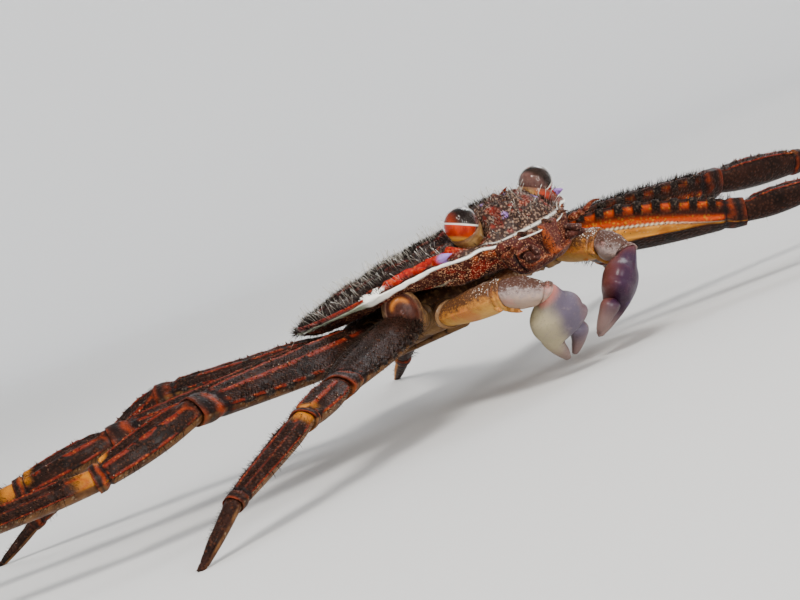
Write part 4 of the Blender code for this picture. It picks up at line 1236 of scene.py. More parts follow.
def handBlocks(joints, breadth):
    # the palm with its fixed finger, and the moving finger
    hip, elbow, wrist, knuckle, tip = (np.array(p, float) for p in joints)
    along, fingerWay = unit(knuckle - wrist), unit(tip - knuckle)
    high, flat = sideAxes(along, breadth)
    palmLength, fingerLength = float(np.linalg.norm(knuckle - wrist)), float(np.linalg.norm(tip - knuckle))
    angles = turns(hand["columns"])

    def rings(travel, offsets, highs, flats, count, turning):
        # rings along the bend at the knuckle, where turning says how far they face the finger's way
        u = np.linspace(travel[0], travel[-1], count)
        sizes = [curveThrough(u, travel, values) for values in (offsets, highs, flats)]
        made, levels = [], []
        for f, o, h, w in zip(u, *sizes):
            blend = unit(along * (1 - turning(f)) + fingerWay * turning(f))
            centre = (wrist + along * min(f, palmLength) + fingerWay * max(f - palmLength, 0)) + high * o
            up = unit(high - blend * (high @ blend))
            across = unit(flat - blend * (flat @ blend) - up * (flat @ up))
            made.append(oval(centre, up, across, angles, h, w))
            levels.append((np.cos(angles) * h + o) / 2.6 if hip[0] < 0 else np.sin(angles) * -0.8)
        return np.array(made), np.array(levels), u

    def endPole(finger):
        return tip + high * hand["tipOffset"][finger] + fingerWay * 0.25

    def flattened(radii):
        return tuple(hand["flatness"] * r for r in radii)

    travel = [v * palmLength for v in hand["palmShares"]]
    travel += [palmLength + v * fingerLength for v in hand["fixedShares"]]
    palm, levels, u = rings(travel, (0,) * 5 + hand["fixedOffset"], hand["palmHigh"] + hand["fixedRadius"],
                            hand["palmFlat"] + flattened(hand["fixedRadius"]), hand["rows"],
                            lambda f: smoothStep(f, palmLength - 0.6, palmLength + 1.6))
    plane = unit(unit(wrist - elbow) + along)
    weight = (1 - smoothStep(u / palmLength, 0, 0.3))[:, None]
    palm = meetPlane(palm, (wrist + along * u[:, None])[:, None], along, plane, weight)
    fingerShare = smoothStep(u, palmLength + 0.2, palmLength + fingerLength * 0.8)[:, None]
    palmBlock = gridBlock(palm, wrist - along * 0.55, endPole("fixed"), handHeight=levels,
                          fingerShare=fingerShare, palmShare=np.clip(u / palmLength, 0, 1)[:, None])
    travel = [palmLength + v * fingerLength for v in hand["movingShares"]]
    finger, levels, u = rings(travel, hand["movingOffset"], hand["movingRadius"],
                              flattened(hand["movingRadius"]), hand["fingerRows"],
                              lambda f: 0.5 + 0.5 * (f - palmLength) / fingerLength)
    fingerShare = smoothStep(u, palmLength + 0.6, palmLength + fingerLength * 0.9)[:, None]
    fingerBlock = gridBlock(finger, finger[0].mean(axis=0) - fingerWay * 0.2, endPole("moving"),
                            handHeight=levels, fingerShare=fingerShare, palmShare=np.ones_like(levels))
    return palmBlock, fingerBlock


armColours = {
    "arm": {"base": (0.36, 0.135, 0.022), "low": (0.53, 0.275, 0.052), "crown": (0.085, 0.034, 0.014),
            "edge": (0.46, 0.12, 0.034)},
    "wrist": {"base": (0.25, 0.19, 0.175), "low": (0.35, 0.24, 0.18), "crown": (0.07, 0.032, 0.022),
              "edge": (0.43, 0.14, 0.105)},
    "crust": (0.8, 0.78, 0.7), "groove": (0.04, 0.016, 0.01),
}
handColours = {
    "handPale": {"low": (0.31, 0.262, 0.16), "middle": (0.086, 0.068, 0.098), "high": (0.125, 0.078, 0.088),
                 "edge": (0.25, 0.19, 0.175), "joint": (0.43, 0.14, 0.105)},
    "handViolet": {"low": (0.12, 0.036, 0.03), "middle": (0.028, 0.009, 0.026),
                   "high": (0.036, 0.015, 0.07), "edge": (0.09, 0.034, 0.05), "joint": (0.09, 0.03, 0.03)},
    "brown": (0.06, 0.024, 0.012), "fingerTip": (0.23, 0.15, 0.13),
}


def armSkin(name):
    c = armColours[name]
    paint = skinPaint(name + "Skin", 0.4, coat=0.15, coatRoughness=0.2)
    blotch, grain = paint.blotches(0.55, 2.2), paint.grain(6.0)
    top = paint.number("ADD", "topSide", paint.number("MULTIPLY_ADD", blotch["Fine"], 0.5, -0.25))
    paint.colour = paint.mix(paint.stretch(top, -0.7, 0.25), c["low"], c["base"])
    paint.cover(paint.times(paint.stretch(blotch["Blotch"], 0.5, 0.85), 0.55), c["edge"])
    upper = paint.mix(paint.heads(grain, 0.35, 0.9), c["crown"], c["base"])
    paint.cover(paint.stretch(top, 0.02, 0.5), upper)
    crown = paint.times(paint.stretch(top, 0.45, 0.8), paint.stretch("share", 0.45, 0.9))
    paint.cover(paint.times(paint.heads(grain, 0.55, 0.7), crown), armColours["crust"])
    paint.cover(paint.times("ring", 0.75), c["edge"])
    paint.cover("groove", armColours["groove"])
    return paint.finish(paint.times(grain["Height"], paint.stretch(top, -0.5, 0.4)), 0.07)


def handSkin(name):
    c = handColours[name]
    paint = skinPaint(name + "Skin", 0.4, coat=0.12, coatRoughness=0.15)
    blotch, grain = paint.blotches(0.35, 1.6), paint.grain(6.5, 0.34)
    height = paint.number("ADD", "handHeight", paint.number("MULTIPLY_ADD", blotch["Blotch"], 0.5, -0.25))
    paint.colour = paint.mix(paint.stretch(height, -0.6, 0.2), c["low"], c["middle"])
    paint.cover(paint.stretch(height, 0.72, 1.02), c["high"])
    start = paint.number("SUBTRACT", 1.0, paint.stretch("palmShare", 0.02, 0.2))
    paint.cover(paint.times(start, 0.85), c["joint"])
    paint.cover(paint.times(paint.stretch(blotch["Fine"], 0.55, 0.9), 0.25), c["edge"])
    dots = paint.heads(grain, 0.55, 0.7)
    paint.cover(paint.times(dots, 0.28), handColours["brown"])
    paint.cover(paint.times("fingerShare", 0.8), handColours["fingerTip"])
    return paint.finish(paint.number("ADD", paint.times(blotch["Fine"], 0.6), paint.times(dots, 0.5)), 0.04)


pincerSkins = {**{name: armSkin(name) for name in ("arm", "wrist")},
               **{name: handSkin(name) for name in ("handPale", "handViolet")}}
pincerPieces = []
for name, joints in pincers.items():
    skin = pincerSkins["handPale" if name.endswith("right") else "handViolet"]
    palmBlock, fingerBlock = handBlocks(joints, palmBreadths[name])
    elbow = np.array(joints[1])
    teeth = [armTooth(elbow, unit(elbow - np.array(joints[0])), *tooth) for tooth in armTeeth]
    for label, blocks, material, slotName, node in (
            ("ArmShell", [armBlock(joints, "arm")] + teeth, pincerSkins["arm"], "arm", "_merus"),
            ("WristShell", [armBlock(joints, "wrist")], pincerSkins["wrist"], "wrist", "_carpus"),
            ("PalmShell", [palmBlock], skin, "palm", "_palm"),
            ("FingerShell", [fingerBlock], skin, "finger", "_finger")):
        pincerPieces.append((assemble(name + label, blocks, material), slotName, name + node))
print("pincers made")


# Feelers and jaws

face = {
    "antennuleCentre": (2.9, -14.9, -3.3), "antennuleHalf": (0.35, -1.15, -0.35), "antennuleScale": 0.75,
    "antennaRoot": (4.7, -13.6, -2.3), "antennaTip": (5.8, -17.0, -1.9), "antennaScale": 0.72,
    "jawCentre": (1.75, -8.3, -4.4), "jawLength": 5.4,
}
# the plate between the feelers and the mouth: levels, half widths and half depths
plate = {"rows": 44, "columns": 200, "levels": (-4.75, -4.6, -4.0, -2.6, -1.2, -1.05), "middle": -13.2,
         "halfWidths": (2.4, 2.85, 3.65, 4.35, 4.65, 4.6), "halfDepths": (0.9, 1.15, 1.55, 1.95, 1.95, 1.9)}
feelerColours = {
    "antennule": ((0.02, 0.008, 0.007), (0.08, 0.022, 0.014), (0.26, 0.14, 0.1)),
    "antenna": ((0.044, 0.01, 0.006), (0.15, 0.026, 0.01), (0.4, 0.18, 0.08)),
    "jaw": ((0.2, 0.075, 0.035), (0.48, 0.23, 0.11), (0.72, 0.52, 0.34)),
}
plateColours = {"dark": (0.026, 0.007, 0.006), "warm": (0.078, 0.015, 0.01), "dots": (0.46, 0.22, 0.11),
                "keel": (0.085, 0.024, 0.018), "slit": (0.008, 0.004, 0.004), "edge": (0.4, 0.08, 0.018)}


def annulate(shares, count, depth):
    return 1 + depth * np.abs(np.sin(shares * math.pi * count)) - depth * 0.5


def antennuleBlocks(side):
    centre, half = mirrored(face["antennuleCentre"], side), mirrored(face["antennuleHalf"], side)
    f, g = np.linspace(0, 1, 30), np.linspace(0, 1, 44)
    base = bentLine(centre - half, centre + half, (0, 0, -0.12), 30)
    stout = face["antennuleScale"] * curveThrough(f, (0, 0.2, 0.5, 0.75, 1), (0.35, 0.66, 0.72, 0.52, 0.3))
    stout = stout * annulate(f, 3, 0.08)
    foot, tip = mirrored((-0.15, -0.05, 0.32), side), mirrored((-0.32, 0, 0.42), side)
    back = bentLine(centre + half * 0.95 + foot, centre - half * 0.75 + tip, (side * -0.2, 0, 0.3), 44)
    lash = curveThrough(g, (0, 0.3, 0.8, 1), (0.3, 0.27, 0.16, 0.08)) * annulate(g, 16, 0.25)
    return [tubeBlock(base, stout, stout * 0.9, (1, 0, 0), 26), tubeBlock(back, lash, lash, (1, 0, 0), 14)]


def antennaBlocks(side):
    root, tip = mirrored(face["antennaRoot"], side), mirrored(face["antennaTip"], side)
    f, g = np.linspace(0, 1, 46), np.linspace(0, 1, 40)
    line = bentLine(root, root + (tip - root) * 0.6, (0, 0, -0.06), 46)
    stem = face["antennaScale"] * curveThrough(f, (0, 0.15, 0.38, 0.42, 0.7, 0.74, 0.95, 1),
                                               (0.5, 0.6, 0.55, 0.46, 0.5, 0.38, 0.4, 0.26))
    lashLine = bentLine(root + (tip - root) * 0.58, tip, (side * 0.05, 0, 0.2), 40)
    lash = curveThrough(g, (0, 0.5, 1), (0.22, 0.15, 0.06)) * annulate(g, 12, 0.22)
    return [tubeBlock(line, stem, stem * 0.85, (1, 0, 0), 26), tubeBlock(lashLine, lash, lash, (1, 0, 0), 14)]


def jawBlocks(side):
    # one outer jaw plate with the groove between its two joints
    cx, cy, cz = mirrored(face["jawCentre"], side)
    f = np.linspace(0, 1, 48)
    width = curveThrough(f, (0, 0.12, 0.35, 0.55, 0.62, 0.85, 1), (0.6, 1.15, 1.45, 1.4, 1.34, 1.25, 0.7))
    depth = curveThrough(f, (0, 0.12, 0.4, 0.85, 1), (0.35, 0.6, 0.76, 0.7, 0.4))
    depth = depth * (1 - 0.28 * hump(f, 0.585, 0.022))
    along = cy - (f - 0.5) * face["jawLength"]
    centres = np.stack([np.full_like(f, cx), along, np.full_like(f, cz)], axis=-1)
    return [tubeBlock(centres, width, depth, (1, 0, 0), 34, 2.6)]


def faceSkin(name, dark, warm, light, perMillimetre):
    paint = skinPaint(name, 0.42, coat=0.05, coatRoughness=0.15, specular=0.09)
    blotch, grain = paint.blotches(1.1, 2.6), paint.grain(perMillimetre)
    paint.colour = paint.mix(blotch["Blotch"], dark, warm)
    paint.cover(paint.times(paint.heads(grain, 0.5, 0.8), 0.75), light)
    return paint.finish(grain["Height"], 0.05)


def plateBlock():
    # a raised middle keel, slits beside it, hollows further out and a sill below
    levels = np.linspace(plate["levels"][-1], plate["levels"][0], plate["rows"])
    halfWidth = curveThrough(levels, plate["levels"], plate["halfWidths"])
    halfDepth = curveThrough(levels, plate["levels"], plate["halfDepths"])
    angles = turns(plate["columns"])
    across, forward = np.outer(halfWidth, np.cos(angles)), np.outer(halfDepth, np.sin(angles))
    upward = np.broadcast_to(levels[:, None], across.shape)
    rings = np.stack([across, plate["middle"] - forward, upward], axis=-1)
    x, z, front = np.abs(rings[..., 0]), rings[..., 2], smoothStep(-rings[..., 1], 13.6, 14.2)
    keelWidth = 0.95 * (1 - np.clip((-z - 1.3) / 3.2, 0, 1)) + 0.12
    keel = smoothStep(keelWidth - x, -0.06, 0.12) * between(-z, 1.15, 1.4, 4.2, 4.5)
    edge = hump(x - keelWidth, 0, 0.1) * between(-z, 1.2, 1.5, 4.1, 4.4)
    slit = hump(x - keelWidth, 0.34, 0.22) * between(-z, 1.3, 1.7, 3.9, 4.3)
    sill = hump(z, -4.1, 0.22) * (x < 3.2)
    slant = np.hypot((x - 2.75 + 0.5 * (z + 3.2)) / 1.0, (z + 3.2 - 0.5 * (x - 2.75)) / 0.44)
    flank = hump(np.sin(angles)[None], 0.34 + 0.05 * (z + 3), 0.1) * (x > 2)
    flank = flank * between(-z, 1.5, 2.0, 4.2, 4.6)
    hollow, brace = 1 - smoothStep(slant, 0.75, 1.05), hump(slant, 1.2, 0.12)
    rows = hump((z + 2.0 + 0.2 * x) % 0.62, 0.31, 0.1) * smoothStep(x, 1.2, 2.0)
    push = 0.75 * keel + 0.22 * edge - 0.55 * slit + 0.35 * sill - 0.4 * hollow + 0.05 * brace - 0.06 * rows
    push = (push + latticeNoise(rings, 0.3, 77) * 0.07) * front
    rings = rings + np.stack([-0.1 * flank * rings[..., 0], -push, 0 * push], axis=-1)
    top, bottom = ((0, plate["middle"], level) for level in (-1.0, -4.85))
    # the slits, the hollows and the flanks are also painted near black: painted shade, deeper than their
    # shallow carving
    return gridBlock(rings, top, bottom, edge=np.clip(edge + 0.25 * brace + 0.35 * sill, 0, 1) * front,
                     slit=np.clip(slit * front + hollow * 0.9 * front + flank, 0, 1), keel=keel * front)


def plateSkin():
    c = plateColours
    paint = skinPaint("facePlateSkin", 0.45, coat=0.05, coatRoughness=0.2, specular=0.08)
    blotch, grain = paint.blotches(0.9, 2.6), paint.grain(5.6, 0.48)
    paint.colour = paint.mix(blotch["Blotch"], c["dark"], c["warm"])
    paint.cover(paint.times(paint.heads(grain, 0.2, 0.7), 0.7), c["dots"])
    paint.cover(paint.times("keel", 0.6), c["keel"])
    # near black over the slits, hollows and flanks: painted shade in the recesses
    paint.cover("slit", c["slit"])
    paint.cover(paint.times("edge", paint.stretch(blotch["Fine"], 0.2, 0.6)), c["edge"])
    return paint.finish(grain["Height"], 0.06)


faceParts = []
for name, blocks, perMillimetre, node in (
        ("antennule", antennuleBlocks, 4.6, "antennule"), ("antenna", antennaBlocks, 5.0, "antenna"),
        ("jaw", jawBlocks, 3.4, "maxilliped")):
    faceParts.append((blocks, faceSkin(name + "Skin", *feelerColours[name], perMillimetre), node))
facePieces = [(assemble("facePlate", [plateBlock()], plateSkin()), "carapace", None)]
for label, side in sides:
    for blocks, skin, node in faceParts:
        name = node + "_" + label
        facePieces.append((assemble(name + "Shell", blocks(side), skin), node, name))
print("feelers and jaws made")


# Breast plate, limb bases and tail flap

breast = {"middle": 4.0, "halfWidth": 8.6, "halfLength": 9.0, "top": -1.75, "bottom": -6.0, "columns": 160,
          "squareness": 0.77, "grooves": (-3.2, -0.4, 2.6, 5.6, 8.4), "grooveDepth": 0.3}
# shares of the outline and of the half height, down the side of the breast plate
breastSteps = ((0.15, 1.0), (0.35, 1.0), (0.5, 1.0), (0.82, 0.96), (0.93, 0.75), (0.98, 0.4), (1.0, 0.0),
               (0.98, -0.4), (0.95, -0.65), (0.9, -0.84), (0.82, -0.96),
               *((share, -1.0) for share in np.linspace(0.76, 0.04, 30)))
tailFlap = {"start": 11.6, "length": 11.0, "level": -6.75, "thickness": 0.42,
            "joints": (0.1, 0.22, 0.36, 0.52, 0.7, 0.86),
            "shares": (0, 0.15, 0.4, 0.65, 0.85, 1.0), "widths": (2.5, 3.25, 2.85, 2.05, 1.45, 0.6)}
limbBase = {"rows": 54, "columns": 44, "pincerStout": 0.8, "shares": (0, 0.45, 0.62, 0.82, 1.0),
            "halfWidths": (1.35, 1.7, 1.72, 2.02, 1.8), "halfThicks": (1.15, 1.45, 1.45, 1.66, 1.5)}
knob = {"centre": (-9.9, -3.9, -2.7), "way": (-0.62, -0.74, 0.1), "ahead": 2.1, "radius": 1.8,
        "height": 0.85, "length": 1.28, "rows": 40, "columns": 60}
breastColours = {"pale": (0.3, 0.17, 0.07), "brown": (0.12, 0.05, 0.02), "upper": (0.045, 0.018, 0.01),
                 "freckle": (0.3, 0.12, 0.05), "groove": (0.06, 0.03, 0.018), "rim": (0.17, 0.092, 0.04),
                 "knob": (0.02, 0.006, 0.004), "knobLight": (0.07, 0.019, 0.01),
                 "crescent": (0.33, 0.1, 0.012)}


def breastBlock():
    b = breast
    ox, oy = squareRound(turns(b["columns"]), b["squareness"])
    middle, half = (b["top"] + b["bottom"]) / 2, (b["top"] - b["bottom"]) / 2
    rings = []
    for step, level in breastSteps:
        x, y = b["halfWidth"] * ox * step, b["middle"] + b["halfLength"] * oy * step
        z = np.full_like(x, middle + half * level)
        if level < -0.9:
            bow = [y - 0.25 * np.abs(x) * (1 if g > 2 else -1) * abs(g - 2) * 0.12 for g in b["grooves"]]
            groove = sum(hump(line, g, 0.28) for line, g in zip(bow, b["grooves"]))
            keel = 0.35 * hump(x, 0, 2.7) * smoothStep(y, -4, -1)
            z = z + (b["grooveDepth"] * groove + keel) * smoothStep(1 - step, 0.0, 0.12)
            z = z - 0.22 * (1 - (x / 9) ** 2)
        rings.append(np.stack([x, y, z], axis=-1))
    rings = np.array(rings)
    groove = sum(hump(rings[..., 1], g, 0.3) for g in b["grooves"]) * (rings[..., 2] < -5)
    # the upper sides of the plate, under the shield, take the darker upper colour: painted shade
    return gridBlock(rings, (0, b["middle"], b["top"]), (0, b["middle"], b["bottom"] - 0.1),
                     groove=np.clip(groove, 0, 1), upper=smoothStep(rings[..., 2], -5.7, -4.9) * 0.9)


def baseBlock(root, hip, plane, scale, toward):
    # the short joints between the breast plate and a limb, with two raised collars
    along = unit(hip - root)
    length = float(np.linalg.norm(hip - root))
    wide, thin = sideAxes(along, toward)
    f = np.linspace(0, 1, limbBase["rows"])
    halfWidth = curveThrough(f, limbBase["shares"], limbBase["halfWidths"]) * scale
    halfThick = curveThrough(f, limbBase["shares"], limbBase["halfThicks"]) * scale
    pinch = (1 - 0.2 * hump(f, 0.5, 0.03) - 0.16 * hump(f, 0.72, 0.026) + 0.09 * hump(f, 0.44, 0.03)
             + 0.07 * hump(f, 0.66, 0.03) + 0.05 * hump(f, 0.98, 0.04))
    angles, centres = turns(limbBase["columns"]), root + along * length * f[:, None]
    rings = np.array([oval(centre, wide, thin, angles, w * p, h * p)
                      for centre, w, h, p in zip(centres, halfWidth, halfThick, pinch)])
    rings = meetPlane(rings, centres[:, None], along, plane, smoothStep(f, 0.75, 1.0)[:, None])
    collar = np.clip(hump(f, 0.44, 0.035) + hump(f, 0.66, 0.03) + smoothStep(f, 0.955, 0.98), 0, 1)
    groove = np.clip(hump(f, 0.5, 0.028) + hump(f, 0.72, 0.024), 0, 1)
    # the upper side of each limb base takes the darker upper colour: painted shade under the shield
    return gridBlock(rings, root, hip - along * 0.4, rim=collar[:, None], groove=groove[:, None],
                     upper=smoothStep(np.sin(angles), -0.2, 0.5)[None])


def knobBlock():
    # the polished knob of the first right leg's base, with its ringed rim
    way = unit(knob["way"])
    centre = np.array(knob["centre"]) + way * knob["ahead"]
    wide, thin = sideAxes(way, (0, 0, 1))
    angles, shares = turns(knob["columns"]), np.linspace(0, 1, knob["rows"])
    rings = []
    for f in shares:
        r = knob["radius"] * (1 - f) ** 0.55 if f > 0.02 else knob["radius"]
        level = knob["height"] * curveThrough(f, (0, 0.25, 0.4, 0.55, 1.0), (0.0, 0.42, 0.4, 0.62, 1.0))
        rings.append(oval(centre + way * level, wide, thin, angles, r * knob["length"], r))
    f = shares[:, None]
    cap = smoothStep(f, 0.28, 0.36)
    crescent = hump(f, 0.7, 0.1) * smoothStep(np.cos(angles), 0.2, 0.8)[None]
    # the knob's foot takes the darker upper colour: painted shade where it meets the body
    return gridBlock(np.array(rings), centre - way * 2.4, centre + way * knob["height"] * 1.02,
                     knob=cap, upper=1 - cap, crescent=crescent, rim=hump(f, 0.0, 0.1))


def breastSkin():
    c = breastColours
    paint = skinPaint("breastSkin", 0.42, coat=0.06, specular=0.08)
    blotch, grain = paint.blotches(0.35, 2.0), paint.grain(3.4, 0.45)
    paint.colour = paint.mix(blotch["Blotch"], c["pale"], c["brown"])
    # the darker upper colour is painted shade on the parts that lie under the shield
    paint.cover(paint.times("upper", paint.stretch(blotch["Fine"], 0.02, 0.5)), c["upper"])
    paint.cover(paint.times(paint.heads(grain, 0.7, 0.85), 0.5), c["freckle"])
    paint.cover("groove", c["groove"])
    paint.cover(paint.times("rim", 0.7), c["rim"])
    paint.cover("knob", paint.mix(blotch["Fine"], c["knob"], c["knobLight"]))
    paint.cover("crescent", c["crescent"])
    return paint.finish(grain["Height"], 0.03)


def flapBlock():
    f = np.linspace(0, 1, 130)
    width = curveThrough(f, tailFlap["shares"], tailFlap["widths"])
    nick = sum(hump(f, joint, 0.012) for joint in tailFlap["joints"])
    back = tailFlap["start"] - tailFlap["length"] * f
    centres = np.stack([0 * f, back, np.full_like(f, tailFlap["level"])], axis=-1)
    depth = tailFlap["thickness"] * (1 - 0.45 * nick)
    width = width * (1 - 0.05 * nick)
    return tubeBlock(centres, width, depth, (1, 0, 0), 48, 2.4, groove=np.clip(nick, 0, 1))


breastMaterial = breastSkin()
baseBlocks = [breastBlock()]
for leg in walkingLegs.values():
    root, joints, planes = legJoints(leg)
    scale = (leg["lengths"][0] / longestLeg) ** 0.5
    baseBlocks.append(baseBlock(np.array(root), np.array(joints[0]), np.array(planes[0]), scale, (0, -1, 0)))
for joints in pincers.values():
    hip, elbow = np.array(joints[0], float), np.array(joints[1], float)
    plane = unit(unit(hip - pincerRoot(hip)) + unit(elbow - hip))
    baseBlocks.append(baseBlock(pincerRoot(hip), hip, plane, limbBase["pincerStout"], (1, 0, 0)))
breastShell = assemble("breastShell", baseBlocks + [knobBlock()], breastMaterial)
flapShell = assemble("tailFlapShell", [flapBlock()], breastMaterial)
print("underside made")


# Spines of the shield: curved, the fourth on each side white and hooked

# each spine: tip, root, radius, bend, and its tint: how red, how white and how lavender at its tip
marginSpines = {
    "exorbital": ((7.9, -11.3, 0.2), (7.6, -8.7, -0.1), 0.8, (0.25, 0, 0.15), (1, 0, 1)),
    "second": ((9.4, -9.0, 0.1), (8.9, -6.9, 0.0), 0.62, (0.2, 0, 0.12), (1, 0, 0)),
    "third": ((11.1, -7.4, 0.1), (10.5, -5.2, 0.0), 0.62, (0.2, 0, 0.1), (1, 0, 0)),
    "fourth": ((12.95, -6.0, -0.1), (12.3, -3.0, -0.25), 0.92, (0.45, 0, 0.05), (0, 1, 0)),
    "innerOrbital": ((2.7, -15.9, -1.4), (2.3, -13.0, -1.0), 0.55, (0.1, 0, 0.1), (0, 0, 0)),
    "brow": ((2.9, -10.1, 2.9), (2.5, -8.3, 1.6), 0.5, (0.0, 0, 0.15), (0.35, 0, 0)),
}
beak = ((0, -16.4, -1.5), (0, -13.4, -1.2), 0.85, (0, 0, 0.15), (0, 0, 0))


def spineBlock(side, tip, root, radius, bend, tint):
    f = np.linspace(0, 1, 18)
    line = bentLine(mirrored(root, side), mirrored(tip, side), mirrored(bend, side), 18)
    radii = radius * np.maximum(1 - f, 0.02) ** 0.72 * (1 + 0.05 * np.sin(f * 40))
    red, white, lavender = tint
    return tubeBlock(line, radii, radii * 0.8, (1, 0, 0), 22,
                     ridge=np.full_like(f, red), wall=np.full_like(f, 0.3),
                     line=white * smoothStep(f, -0.1, 0.2), lavender=lavender * smoothStep(f, 0.35, 0.6))


spineBlocks = [spineBlock(side, *spine) for side in (-1, 1) for spine in marginSpines.values()]
spineShell = assemble("shieldSpines", spineBlocks + [spineBlock(1, *beak)], shellMaterial)


# The bristles: one Geometry Nodes tree grows a coat on any skin with a share, a length, lie and rootPlace

# what each kind's row says; the density is in sprouts per square metre
coatKeys = ("Seed", "Density", "Spread", "LengthLow", "LengthHigh", "LieAmount", "ShareField", "LengthField")
coats = {
    "pile": (7, 34e6, 0.4, 0.55, 1.15, 1.0, "coatShare", "coatLength"),
    "hairs": (19, 9e6, 0.5, 0.5, 1.2, 0.8, "hairShare", "hairLength"),
    "thorns": (31, 6.5e6, 0.2, 0.35, 1.55, 0.4, "thornShare", "thornLength"),
    "legBristles": (43, 34e6, 0.36, 0.5, 1.15, 1.0, "coatShare", "coatLength"),
}
coatInputs = {
    "Skin": ("Geometry", None), "Bristle": ("Object", None), "Material": ("Material", None),
    "ShareField": ("String", "coatShare"), "LengthField": ("String", "coatLength"),
    "LieAmount": ("Float", 1.0), "Density": ("Float", 1e7), "Spread": ("Float", 0.3),
    "LengthLow": ("Float", 0.6), "LengthHigh": ("Float", 1.1),
    "TuftWidth": ("Float", 0.003), "Seed": ("Int", 1),
}
tuftWidth = 0.003   # share of the coat's picture that one tuft's patch takes
legThornTimes = 0.7
# each sprout: (height, radius) stations, corners, how far its tip bends over, the knob at its tip
sprouts = {
    "pile": ("pileBristle", ((0.0, 0.05), (0.6, 0.032)), 3, 0.16, 0.0),
    "hairs": ("longHair", ((0.0, 0.016), (0.4, 0.013), (0.85, 0.012), (0.94, 0.026)), 3, 0.22, 0.03),
    "thorns": ("thorn", ((0.0, 0.36), (0.45, 0.25), (0.85, 0.1)), 5, 0.12, 0.0),
    "legBristles": ("legBristle", ((0.0, 0.034), (0.6, 0.022)), 3, 0.14, 0.0),
}
# colours of root, body and tip, and the tint above which a tip is pale
sproutColours = {
    "pile": ("pileBristles", (0.005, 0.004, 0.004), (0.013, 0.01, 0.009), (0.09, 0.08, 0.068), 0.25),
    "hairs": ("longHairs", (0.1, 0.085, 0.07), (0.38, 0.34, 0.28), (0.86, 0.84, 0.76), 0.0),
    "thorns": ("thornTips", (0.034, 0.015, 0.01), (0.11, 0.05, 0.03), (0.48, 0.39, 0.3), 0.6),
    "legBristles": ("legBristles", (0.005, 0.003, 0.003), (0.016, 0.01, 0.007), (0.09, 0.066, 0.048), 0.25),
}


def sproutShape(name, stations, corners, bend, tipKnob):
    # one sprout of unit length along +Z, with its place in the tuft's patch
    points, faces, rows = [], [], len(stations)
    for level, radius in stations:
        for k in range(corners):
            a = 2 * math.pi * k / corners
            points.append((math.cos(a) * radius + bend * level * level, math.sin(a) * radius, level))
    points.append((bend, 0, 1.0 + tipKnob))
    for i, k in itertools.product(range(rows), range(corners)):
        first, second = i * corners + k, i * corners + (k + 1) % corners
        last = (rows * corners,) if i == rows - 1 else (second + corners, first + corners)
        faces.append((first, second) + last)
    faces.append(tuple(range(corners - 1, -1, -1)))
    mesh = bpy.data.meshes.new(name)
    mesh.from_pydata(points, [], faces)
    tuft = [(0.15 + 0.7 * (i % corners) / corners, min(p[2], 1.0), 0) for i, p in enumerate(points)]
    layer = mesh.attributes.new("tuftPlace", "FLOAT_VECTOR", "POINT")
    layer.data.foreach_set("vector", np.array(tuft, np.float32).ravel())
    mesh.polygons.foreach_set("use_smooth", np.ones(len(mesh.polygons), bool))
    return addObject(name, mesh)


